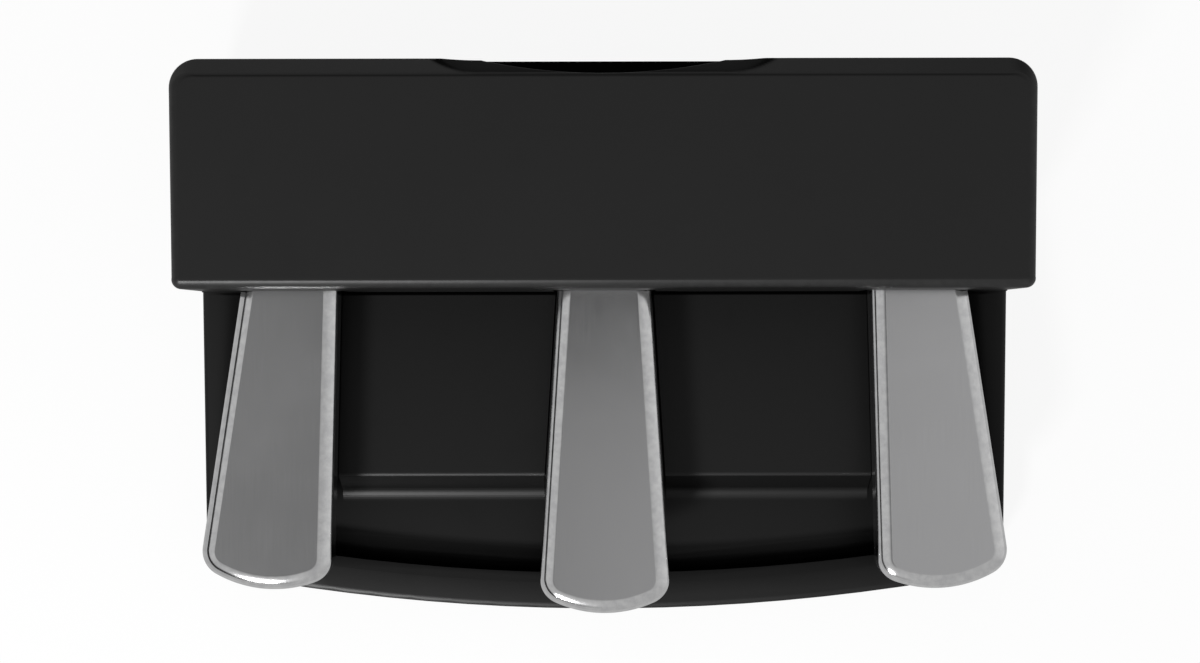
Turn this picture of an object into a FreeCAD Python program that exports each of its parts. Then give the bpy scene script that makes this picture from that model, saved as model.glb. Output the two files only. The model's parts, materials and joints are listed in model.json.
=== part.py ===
import FreeCAD, Part
import math
import os
import Sketcher

# Piano pedal unit: a floor base with a housing at its rear and three metal pedals that pass
# through the housing's front wall. Millimetres, +X right, +Y towards the rear, +Z up, with the
# origin on the floor under the middle of the outline.

doc = FreeCAD.newDocument("PedalUnit")
sheet = doc.addObject("Spreadsheet::Sheet", "Sizes")


class Value:
    """A number together with the sheet formula that gives it, so that each is written once."""

    def __init__(self, number, text):
        self.number = float(number)
        self.text = text

    def __add__(self, other):
        other = as_value(other)
        return Value(self.number + other.number, f"({self.text} + {other.text})")

    def __sub__(self, other):
        other = as_value(other)
        return Value(self.number - other.number, f"({self.text} - {other.text})")

    def __mul__(self, other):
        other = as_value(other)
        return Value(self.number * other.number, f"({self.text} * {other.text})")

    def __truediv__(self, other):
        other = as_value(other)
        return Value(self.number / other.number, f"({self.text} / {other.text})")

    def __neg__(self):
        return Value(-self.number, f"(0 - {self.text})")

    def __radd__(self, other):
        return as_value(other) + self

    def __rsub__(self, other):
        return as_value(other) - self

    def __rmul__(self, other):
        return as_value(other) * self


def as_value(thing):
    if isinstance(thing, Value):
        return thing
    return Value(thing, f"({float(thing)})")


def sine(angle):
    return Value(math.sin(math.radians(angle.number)), f"sin({angle.text} * 1 deg)")


def cosine(angle):
    return Value(math.cos(math.radians(angle.number)), f"cos({angle.text} * 1 deg)")


def tangent(angle):
    return Value(math.tan(math.radians(angle.number)), f"tan({angle.text} * 1 deg)")


def square_root(thing):
    return Value(math.sqrt(thing.number), f"sqrt({thing.text})")


def size(name, number):
    """Write one driving size in the sheet and give it back as a Value."""
    size.row += 1
    sheet.set(f"A{size.row}", name)
    sheet.set(f"B{size.row}", str(number))
    sheet.setAlias(f"B{size.row}", name)
    return Value(number, f"Sizes.{name}")


size.row = 0

# Outline of the whole unit
width = size("width", 250)
depth = size("depth", 166)
front_bow = size("front_bow", 653)
plan_corner = size("plan_corner", 9)
foot_height = size("foot_height", 2.5)
parting_height = size("parting_height", 22)

# Base moulding
lip_height = size("lip_height", 15.4)
lip_flat = size("lip_flat", 2.7)
lip_bevel = size("lip_bevel", 7.3)
lip_bevel_drop = size("lip_bevel_drop", 2.4)
lip_cove = size("lip_cove", 6)
lip_sweep = size("lip_sweep", 30)
floor_height = size("floor_height", 9)
block_height = size("block_height", 20)
block_front = size("block_front", 57)
block_slope = size("block_slope", 4)
block_inner = size("block_inner", 19.5)
block_cove = size("block_cove", 3.5)
block_edge = size("block_edge", 1.2)
rail_width = size("rail_width", 13)
rail_edge = size("rail_edge", 1.6)
base_wall = size("base_wall", 3)
well_gap = size("well_gap", 0.5)
stop_rim = size("stop_rim", 0.5)
rail_drop = size("rail_drop", 0.3)
bay_lead = size("bay_lead", 3)
stake_half = size("stake_half", 1.8)
cut_over = size("cut_over", 1)
join = size("join", 0.5)
fit_gap = size("fit_gap", 0.1)
thread_gap = size("thread_gap", 0.02)

# Housing moulding
housing_depth = size("housing_depth", 66.4)
housing_front_height = size("housing_front_height", 68)
housing_rear_height = size("housing_rear_height", 72)
housing_wall = size("housing_wall", 2.5)
housing_draft = size("housing_draft", 0.7)
housing_front_corner = size("housing_front_corner", 2.8)
housing_top_edge = size("housing_top_edge", 2.2)
rear_bevel = size("rear_bevel", 4.4)
rear_bevel_drop = size("rear_bevel_drop", 2.6)
slot_gap = size("slot_gap", 1.2)
scoop_length = size("scoop_length", 101.6)
scoop_reach = size("scoop_reach", 5)
scoop_fall = size("scoop_fall", 7)
scoop_corner = size("scoop_corner", 25)
scoop_slope = size("scoop_slope", 33)
scoop_lens_chord = size("scoop_lens_chord", 66)
scoop_lens_reach = size("scoop_lens_reach", 4)
scoop_lens_depth = size("scoop_lens_depth", 10)

# Pedal blades
blade_top = size("blade_top", 40)
blade_edge_height = size("blade_edge_height", 10)
blade_skin = size("blade_skin", 3)
blade_wall = size("blade_wall", 2.5)
blade_reach = size("blade_reach", 143)
blade_rear = size("blade_rear", 38)
blade_rear_half = size("blade_rear_half", 13.8)
blade_front_half = size("blade_front_half", 20)
blade_nose = size("blade_nose", 36)
blade_corner = size("blade_corner", 8)
blade_bevel_width = size("blade_bevel_width", 2.7)
blade_bevel_drop = size("blade_bevel_drop", 0.9)
blade_edge_break = size("blade_edge_break", 0.9)
blade_rib = size("blade_rib", 2)
blade_rib_rear = size("blade_rib_rear", 86)
blade_rib_front = size("blade_rib_front", 106)
press_angle = size("press_angle", 4.8)

# Places of the pedals
centre_pivot_inset = size("centre_pivot_inset", 21)
outer_pivot_inset = size("outer_pivot_inset", 14)
outer_pivot_side = size("outer_pivot_side", 34.5)
splay = size("splay", 5)
pivot_height = size("pivot_height", 31)

# Lever arms and bearings
arm_width = size("arm_width", 20)
arm_front = size("arm_front", 78)
arm_thickness = size("arm_thickness", 5)
boss_radius = size("boss_radius", 7)
boss_width = size("boss_width", 24)
lug_front = size("lug_front", 71)
lug_rear = size("lug_rear", 53)
lug_half = size("lug_half", 5)
lug_depth = size("lug_depth", 3)
lug_head = size("lug_head", 1.5)
lug_head_rim = size("lug_head_rim", 1.2)
bush_radius = size("bush_radius", 5)
bush_side_gap = size("bush_side_gap", 0.1)
pin_radius = size("pin_radius", 3)
running_fit = size("running_fit", 0.05)
pin_head_radius = size("pin_head_radius", 4.6)
pin_head = size("pin_head", 1.5)
pin_tail = size("pin_tail", 0.5)
pin_fit = size("pin_fit", 0.01)

# Pivot brackets
bracket_sheet = size("bracket_sheet", 2)
bracket_inner_half = size("bracket_inner_half", 13)
bracket_front = size("bracket_front", 34)
bracket_rear = size("bracket_rear", 7.5)
bracket_flange = size("bracket_flange", 8)
bracket_top = size("bracket_top", 42)
bracket_bend = size("bracket_bend", 1.5)

# Springs, stops and sensors, as distances forward of the pivot
spring_place = size("spring_place", 28)
spring_radius = size("spring_radius", 5)
spring_wire = size("spring_wire", 0.8)
spring_turns = size("spring_turns", 4)
spring_runs = size("spring_runs", 12)
spring_seat = size("spring_seat", 13)
spring_seat_half = size("spring_seat_half", 6.8)
spigot_half = size("spigot_half", 2.8)
spigot_length = size("spigot_length", 3)
felt_front = size("felt_front", 33)
felt_length = size("felt_length", 8)
felt_half = size("felt_half", 8)
stop_place = size("stop_place", 39.5)
stop_half = size("stop_half", 4)
stop_thickness = size("stop_thickness", 4)
stop_gap = size("stop_gap", 0.1)
sensor_place = size("sensor_place", 14)
sensor_half = size("sensor_half", 4.5)
sensor_height = size("sensor_height", 8)
board_front = size("board_front", 20.5)
board_rear = size("board_rear", 2)
board_half = size("board_half", 12)
board_thickness = size("board_thickness", 1.6)
board_height = size("board_height", 14)
board_rib = size("board_rib", 2)
plunger_half = size("plunger_half", 1.8)
plunger_tip = size("plunger_tip", 0.2)
plunger_tip_height = size("plunger_tip_height", 0.5)
plunger_length = size("plunger_length", 12)
plunger_gap = size("plunger_gap", 0.05)

# Ballast plate, feet, screws and cable gland
plate_thickness = size("plate_thickness", 3)
plate_gap = size("plate_gap", 0.3)
foot_length = size("foot_length", 26)
foot_width = size("foot_width", 12)
foot_chamfer = size("foot_chamfer", 0.8)
foot_side = size("foot_side", 23)
foot_rear_inset = size("foot_rear_inset", 17)
foot_front_inset = size("foot_front_inset", 25)
screw_radius = size("screw_radius", 2)
screw_gap = size("screw_gap", 0.2)
screw_length = size("screw_length", 33)
screw_head_radius = size("screw_head_radius", 3.8)
screw_head = size("screw_head", 1.6)
screw_post = size("screw_post", 4.5)
screw_side = size("screw_side", 8)
screw_front_inset = size("screw_front_inset", 11)
screw_rear_inset = size("screw_rear_inset", 11)
gland_height = size("gland_height", 34)
gland_bore = size("gland_bore", 2.75)
gland_half = size("gland_half", 6)
gland_flange_half = size("gland_flange_half", 8)
gland_catch = size("gland_catch", 1.6)
gland_catch_half = size("gland_catch_half", 6.8)
gland_seat = size("gland_seat", 2.2)
gland_wall = size("gland_wall", 5)

doc.recompute()

# Levels and lines that several pieces share
half_width = width / 2
outer_pivot_x = half_width - outer_pivot_side
screw_front_x = half_width - screw_side
screw_rear_x = outer_pivot_x / 2
foot_x = half_width - foot_side
front_y = -depth / 2
rear_y = depth / 2
housing_front_y = rear_y - housing_depth
plate_top = foot_height + plate_thickness
arm_top = blade_top - blade_skin
arm_bottom = arm_top - arm_thickness


class Spot:
    """Where one pedal group stands: its pivot in plan and its turn about the vertical."""

    def __init__(self, name, x, y, turn):
        self.name = name
        self.x = x
        self.y = y
        self.turn = turn

    def point(self, across, forward):
        """Plan point a distance across and a distance forward of the pivot."""
        x = self.x + across * cosine(self.turn) + forward * sine(self.turn)
        y = self.y + across * sine(self.turn) - forward * cosine(self.turn)
        return x, y


left = Spot("left", -outer_pivot_x, rear_y - outer_pivot_inset, -splay)
centre = Spot("centre", as_value(0), rear_y - centre_pivot_inset, as_value(0))
right = Spot("right", outer_pivot_x, rear_y - outer_pivot_inset, splay)
spots = (left, centre, right)

pieces = []


def bind(item, property_name, value):
    """Tie one property of an object to a sheet formula."""
    item.setExpression(property_name, as_value(value).text)


def new_body(label):
    body = doc.addObject("PartDesign::Body", "Body_" + label)
    body.Label = label
    pieces.append(body)
    return body


def place(item, x, y, z, turn=0):
    """Put an object at a point, turned about the vertical through it."""
    x, y, z, turn = as_value(x), as_value(y), as_value(z), as_value(turn)
    rotation = FreeCAD.Rotation(FreeCAD.Vector(0, 0, 1), turn.number)
    item.Placement = FreeCAD.Placement(FreeCAD.Vector(x.number, y.number, z.number), rotation)
    bind(item, "Placement.Base.x", x)
    bind(item, "Placement.Base.y", y)
    bind(item, "Placement.Base.z", z)
    if turn.number:
        bind(item, "Placement.Rotation.Angle", turn)


def new_sketch(body, role, shift=None):
    """Start a sketch on one of the body's own planes, moved along the plane's normal."""
    sketch = body.newObject("Sketcher::SketchObject", "Sketch")
    support = [item for item in body.Origin.OriginFeatures if item.Role == role][0]
    sketch.AttachmentSupport = [(support, "")]
    sketch.MapMode = "FlatFace"
    if shift is not None:
        shift = as_value(shift)
        offset = FreeCAD.Placement(FreeCAD.Vector(0, 0, shift.number), FreeCAD.Rotation())
        sketch.AttachmentOffset = offset
        bind(sketch, "AttachmentOffset.Base.z", shift)
    return sketch


def pin_point(sketch, index, position, x, y):
    """Hold one point of a sketch at its sheet coordinates."""
    for kind, value in (("DistanceX", x), ("DistanceY", y)):
        number = sketch.addConstraint(Sketcher.Constraint(kind, -1, 1, index, position, value.number))
        bind(sketch, f"Constraints[{number}]", value)


def arc_between(start, end, radius):
    """Short arc from start to end, bulging to the right of the way if radius is positive."""
    across = end - start
    half = across.Length / 2
    side = FreeCAD.Vector(-across.y, across.x, 0).normalize()
    rise = math.sqrt(radius * radius - half * half)
    centre_point = (start + end) / 2 + side * math.copysign(rise, radius)
    circle = Part.Circle(centre_point, FreeCAD.Vector(0, 0, 1), abs(radius))
    first, last = (start, end) if radius > 0 else (end, start)
    low = math.atan2(first.y - centre_point.y, first.x - centre_point.x)
    high = math.atan2(last.y - centre_point.y, last.x - centre_point.x)
    if high < low:
        high += 2 * math.pi
    return Part.ArcOfCircle(circle, low, high)


def outline(sketch, points):
    """Closed outline. A point is (x, y), or (x, y, radius) where an arc runs on to the next."""
    corners = [(as_value(point[0]), as_value(point[1])) for point in points]
    vectors = [FreeCAD.Vector(x.number, y.number, 0) for x, y in corners]
    ends = []
    for step, point in enumerate(points):
        start, end = vectors[step], vectors[(step + 1) % len(points)]
        if len(point) == 3:
            radius = as_value(point[2])
            index = sketch.addGeometry(arc_between(start, end, radius.number), False)
            number = sketch.addConstraint(Sketcher.Constraint("Radius", index, abs(radius.number)))
            bind(sketch, f"Constraints[{number}]", radius if radius.number > 0 else -radius)
            ends.append((index, 1, 2) if radius.number > 0 else (index, 2, 1))
        else:
            index = sketch.addGeometry(Part.LineSegment(start, end), False)
            ends.append((index, 1, 2))
    for step, (x, y) in enumerate(corners):
        before, here = ends[step - 1], ends[step]
        sketch.addConstraint(Sketcher.Constraint("Coincident", before[0], before[2], here[0], here[1]))
        pin_point(sketch, here[0], here[1], x, y)


def circle(sketch, x, y, radius):
    x, y, radius = as_value(x), as_value(y), as_value(radius)
    middle = FreeCAD.Vector(x.number, y.number, 0)
    shape = Part.Circle(middle, FreeCAD.Vector(0, 0, 1), radius.number)
    index = sketch.addGeometry(shape, False)
    number = sketch.addConstraint(Sketcher.Constraint("Radius", index, radius.number))
    bind(sketch, f"Constraints[{number}]", radius)
    pin_point(sketch, index, 3, x, y)


def rectangle(sketch, x_low, x_high, y_low, y_high):
    outline(sketch, [(x_low, y_low), (x_high, y_low), (x_high, y_high), (x_low, y_high)])


def add_feature(body, kind, sketch, length, middle=False, reverse=False, taper=None):
    """Pad or pocket a sketch by a bound length."""
    feature = body.newObject("PartDesign::" + kind, kind)
    feature.Profile = sketch
    if middle:
        feature.SideType = "Symmetric"
    feature.Reversed = reverse
    bind(feature, "Length", length)
    if taper is not None:
        bind(feature, "TaperAngle", taper)
    sketch.Visibility = False
    doc.recompute()
    return feature


def pad(body, sketch, length, **options):
    return add_feature(body, "Pad", sketch, length, **options)


def pocket(body, sketch, length, **options):
    """Pocket a sketch and make sure that it took material away."""
    before = body.Shape.Volume
    feature = add_feature(body, "Pocket", sketch, length, **options)
    if body.Shape.Volume > before - 1e-6:
        raise RuntimeError(f"{body.Label}: {feature.Name} cuts nothing")
    return feature


def dress(body, kind, test, **sizes):
    """Fillet or chamfer every edge of the body whose middle passes the test."""
    names = []
    for number, edge in enumerate(body.Shape.Edges, 1):
        middle = edge.valueAt((edge.FirstParameter + edge.LastParameter) / 2)
        if test(edge, middle):
            names.append(f"Edge{number}")
    if not names:
        raise RuntimeError(body.Label + ": no edge to dress")
    base = body.Tip
    feature = body.newObject("PartDesign::" + kind, kind)
    feature.Base = (base, names)
    for name, value in sizes.items():
        if isinstance(value, str):
            setattr(feature, name, value)
        else:
            bind(feature, name, value)
    doc.recompute()
    return feature


def near(first, second, tolerance=0.05):
    return abs(first - as_value(second).number) < tolerance


def groove(body, sketch, reach):
    """Cut a profile round the upright axis of its sketch."""
    before = body.Shape.Volume
    feature = body.newObject("PartDesign::Groove", "Groove")
    feature.Profile = sketch
    feature.ReferenceAxis = (sketch, ["V_Axis"])
    feature.Midplane = True
    bind(feature, "Angle", reach)
    doc.recompute()
    if body.Shape.Volume > before - 1e-6:
        raise RuntimeError(body.Label + ": " + feature.Name + " cuts nothing")


def turn_profile(body, sketch, axis):
    """Revolve a profile a full turn about an axis of its own sketch."""
    feature = body.newObject("PartDesign::Revolution", "Revolution")
    feature.Profile = sketch
    feature.ReferenceAxis = (sketch, [axis])
    doc.recompute()


def upright(edge):
    """Whether an edge is a straight line that stands on the plan."""
    if edge.Curve.TypeId != "Part::GeomLine":
        return False
    ends = [vertex.Point for vertex in edge.Vertexes]
    return abs(ends[0].z - ends[1].z) > 0.9 * edge.Length


def level(edge, height):
    """Whether both ends of an edge lie at one height."""
    return all(near(vertex.Point.z, height) for vertex in edge.Vertexes)


def bowed_outline(inset):
    """Plan outline with the bowed front, drawn in by one distance on every side."""
    half = half_width - inset
    bow = front_bow - inset
    side_end = front_y + front_bow - square_root(bow * bow - half * half)
    back = rear_y - inset
    return [(-half, side_end, bow), (half, side_end), (half, back), (-half, back)]


def rounded_bay(half, front, back, corner):
    """Plan outline of the inside of a wall: square at the front, rounded at the rear."""
    points = [(-half, front), (half, front), (half, back - corner, corner)]
    return points + [(half - corner, back), (corner - half, back, corner), (-half, back - corner)]


def screw_spots():
    """Names and plan places of the four long screws through plate, base and housing."""
    front = housing_front_y + screw_front_inset
    back = rear_y - screw_rear_inset
    places = [("front_left", -screw_front_x, front), ("front_right", screw_front_x, front)]
    return places + [("rear_left", -screw_rear_x, back), ("rear_right", screw_rear_x, back)]


def arm_height_at(forward):
    """Height of the arm's underside at a distance forward of the pivot, pedal fully down."""
    lift = (arm_bottom - pivot_height) * cosine(press_angle)
    return pivot_height + lift - forward * sine(press_angle)


def nose_corner(inset):
    """Half width and distance forward of the pivot where the side of a blade meets its nose."""
    half = blade_front_half - inset
    nose = blade_nose - inset
    return half, blade_reach - blade_nose + square_root(nose * nose - half * half)


def blade_half_at(forward):
    """Half width of a blade at a distance forward of its pivot."""
    front_half, forward_end = nose_corner(as_value(0))
    widening = (front_half - blade_rear_half) / (forward_end - blade_rear)
    return blade_rear_half + widening * (forward - blade_rear)


def turned_rectangle(sketch, spot, across, forward, half, half_length):
    """Rectangle square to one pedal, about a place across and forward of its pivot."""
    corners = []
    for side, end in ((-1, -1), (1, -1), (1, 1), (-1, 1)):
        corners.append(spot.point(across + half * side, forward - half_length * end))
    outline(sketch, corners)


def stake_places():
    """The two heat stakes that hold a bracket, on opposite corners of its flanges."""
    across = bracket_inner_half + bracket_sheet + bracket_flange / 2
    return [(across, bracket_front - bracket_flange / 2), (-across, as_value(0))]


def square(sketch, x, y, half):
    rectangle(sketch, x - half, x + half, y - half, y + half)


def make_base_tray():
    body = new_body("base_tray")
    sketch = new_sketch(body, "XY_Plane", foot_height)
    outline(sketch, bowed_outline(as_value(0)))
    pad(body, sketch, parting_height - foot_height)
    dress(body, "Fillet", lambda edge, middle: upright(edge), Radius=plan_corner)

    # The rails fall in one plane from the housing to the lip, which runs the whole width
    lip_rear_y = front_y + lip_bevel
    block_y = housing_front_y - block_front
    trough_rear_y = block_y - block_slope * 1.5
    over = parting_height + cut_over
    rail_top = parting_height - rail_drop
    fall = (rail_top - lip_height) / (housing_front_y - lip_rear_y)
    for shift, near_y, far_y, length, reverse in (
            (-half_width - cut_over, front_y - cut_over, trough_rear_y, width + cut_over * 2, True),
            (outer_pivot_x, trough_rear_y - cut_over, housing_front_y, half_width, True),
            (-outer_pivot_x, trough_rear_y - cut_over, housing_front_y, half_width, False)):
        sketch = new_sketch(body, "YZ_Plane", shift)
        near_height = rail_top - fall * (housing_front_y - near_y)
        far_height = rail_top - fall * (housing_front_y - far_y)
        outline(sketch, [(near_y, near_height), (far_y, far_height), (far_y, over), (near_y, over)])
        pocket(body, sketch, length, reverse=reverse)

    dress(body, "Fillet",
          lambda edge, middle: middle.y < housing_front_y.number - 0.1
          and middle.z > lip_height.number - 1
          and abs(middle.x) > outer_pivot_x.number + 0.1
          and not upright(edge),
          Radius=rail_edge)

    # Bevel along the bowed lip, rounded over at its outer edge
    bow_centre = front_y + front_bow
    bevel = new_sketch(body, "YZ_Plane")
    bind(bevel, "AttachmentOffset.Base.x", bow_centre)
    outer = -(front_bow + cut_over)
    slant = square_root(lip_bevel * lip_bevel + lip_bevel_drop * lip_bevel_drop)
    edge_run = rail_edge * (1 - lip_bevel_drop / slant) / (lip_bevel / slant)
    edge_height = lip_height - lip_bevel_drop
    points = [(outer, edge_height - edge_run), (-front_bow, edge_height - edge_run, -rail_edge)]
    points += [(edge_run * lip_bevel / slant - front_bow,
                edge_height + edge_run * lip_bevel_drop / slant)]
    points += [(lip_bevel - front_bow, lip_height), (lip_bevel - front_bow, over), (outer, over)]
    outline(bevel, points)
    groove(body, bevel, lip_sweep)

    # Trough between blocks and lip, straight along the blocks and bowed along the lip
    trough_half = half_width - rail_width
    bow_rise = front_bow - square_root(front_bow * front_bow - trough_half * trough_half)
    trough_front_y = front_y + lip_bevel + lip_flat + lip_cove + bow_rise + cut_over
    sketch = new_sketch(body, "YZ_Plane")
    rise = block_height - floor_height
    face = square_root(rise * rise + block_slope * block_slope)
    along, upward = block_slope / face, rise / face
    half_turn = upward / (1 + along)
    foot_y = block_y - block_slope
    cove_run, edge_run = block_cove * half_turn, block_edge * half_turn
    points = [(trough_front_y, floor_height), (foot_y - cove_run, floor_height, block_cove)]
    points += [(foot_y + cove_run * along, floor_height + cove_run * upward)]
    points += [(block_y - edge_run * along, block_height - edge_run * upward, -block_edge)]
    points += [(block_y + edge_run, block_height), (block_y + edge_run, over), (trough_front_y, over)]
    outline(sketch, points)
    pocket(body, sketch, trough_half * 2, middle=True)
    cove = new_sketch(body, "YZ_Plane")
    bind(cove, "AttachmentOffset.Base.x", bow_centre)
    crease = lip_bevel + lip_flat - front_bow
    cove_end = crease + lip_cove + bow_rise + cut_over * 3
    points = [(crease, floor_height + lip_cove, lip_cove), (crease + lip_cove, floor_height)]
    points += [(cove_end, floor_height), (cove_end, over), (crease, over)]
    outline(cove, points)
    reach = math.degrees(math.asin(trough_half.number / front_bow.number)) * 2
    groove(body, cove, Value(reach, f"(2 * asin({(trough_half / front_bow).text}) / 1 deg)"))

    # Blocks stand a little lower than the parting line, which leaves a shadow gap under the housing
    bay_front = housing_front_y + housing_wall + bay_lead
    sketch = new_sketch(body, "XY_Plane", block_height)
    rectangle(sketch, -outer_pivot_x, outer_pivot_x, trough_rear_y, bay_front + cut_over)
    pocket(body, sketch, over - block_height, reverse=True)

    # Wells under the pedals, open at the rear into the bay of the mechanism
    well_front = foot_y - cove_run - bay_lead
    sketch = new_sketch(body, "XY_Plane", floor_height)
    rectangle(sketch, -block_inner, block_inner, well_front, bay_front + cut_over)
    pocket(body, sketch, over - floor_height, reverse=True)
    for spot in (left, right):
        front_reach = (spot.y - well_front) / cosine(splay)
        rear_reach = (spot.y - bay_front) / cosine(splay) - bay_lead
        points = []
        for forward, side in ((front_reach, -1), (front_reach, 1), (rear_reach, 1), (rear_reach, -1)):
            points.append(spot.point((blade_half_at(forward) + well_gap) * side, forward))
        sketch = new_sketch(body, "XY_Plane", floor_height)
        outline(sketch, points)
        pocket(body, sketch, over - floor_height, reverse=True)

    # Bay under the housing
    inner_half = half_width - base_wall
    inner_rear = rear_y - base_wall
    sketch = new_sketch(body, "XY_Plane", floor_height)
    outline(sketch, rounded_bay(inner_half, bay_front, inner_rear, plan_corner - base_wall))
    pocket(body, sketch, over - floor_height, reverse=True)

    # Posts on the floor for screws, brackets, springs, stops and sensor boards
    sketch = floor_sketch(body)
    for name, x, y in screw_spots():
        square(sketch, x, y, screw_post)
    pad_from_floor(body, sketch, parting_height)
    stop_height = arm_height_at(stop_place + stop_half) - stop_gap - stop_thickness
    posts = [([(as_value(0), spring_place)], spring_seat_half, spring_seat_half, spring_seat)]
    posts += [([(as_value(0), spring_place)], spigot_half, spigot_half, spring_seat + spigot_length)]
    posts += [(stake_places(), stake_half, stake_half, floor_height + bracket_sheet)]
    posts += [([(as_value(0), stop_place)], stop_half + stop_rim, stop_half, stop_height)]
    board_ends = [(as_value(0), board_front - board_rib), (as_value(0), board_rear + board_rib)]
    posts += [(board_ends, board_half - board_rib / 2, board_rib / 2, board_height)]
    for places, half, half_length, top in posts:
        sketch = floor_sketch(body)
        for spot in spots:
            for across, forward in places:
                turned_rectangle(sketch, spot, across, forward, half, half_length)
        pad_from_floor(body, sketch, top)

    # Underside: seat of the ballast plate, hollow blocks and screw holes
    sketch = new_sketch(body, "XY_Plane", foot_height)
    outline(sketch, bowed_outline(base_wall))
    pocket(body, sketch, plate_thickness, reverse=True)
    sketch = new_sketch(body, "XY_Plane", plate_top)
    hollow_rear = bay_front - base_wall
    hollow_front = block_y + base_wall
    for sign, spot in ((-1, left), (1, right)):
        near_side = (block_inner + base_wall) * sign
        corners = []
        for y in (hollow_front, hollow_rear):
            forward = (spot.y - y) / cosine(splay)
            half = blade_half_at(forward) + well_gap + base_wall
            corners.append(spot.point(-half * sign, forward)[0])
        points = [(near_side, hollow_front), (corners[0], hollow_front)]
        points += [(corners[1], hollow_rear), (near_side, hollow_rear)]
        outline(sketch, points)
    pocket(body, sketch, block_height - base_wall - plate_top, reverse=True)
    sketch = new_sketch(body, "XY_Plane", plate_top)
    for name, x, y in screw_spots():
        circle(sketch, x, y, screw_radius + screw_gap)
    pocket(body, sketch, over - plate_top, reverse=True)
    return body


def floor_sketch(body):
    """Sketch a little below the floor of the base, so that what stands on it joins it."""
    return new_sketch(body, "XY_Plane", floor_height - cut_over)


def pad_from_floor(body, sketch, top):
    pad(body, sketch, top - floor_height + cut_over)


def housing_top_at(y):
    """Height of the sloping top of the housing at one distance from the rear."""
    slope = (housing_rear_height - housing_front_height) / housing_depth
    return housing_front_height + slope * (y - housing_front_y)


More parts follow.
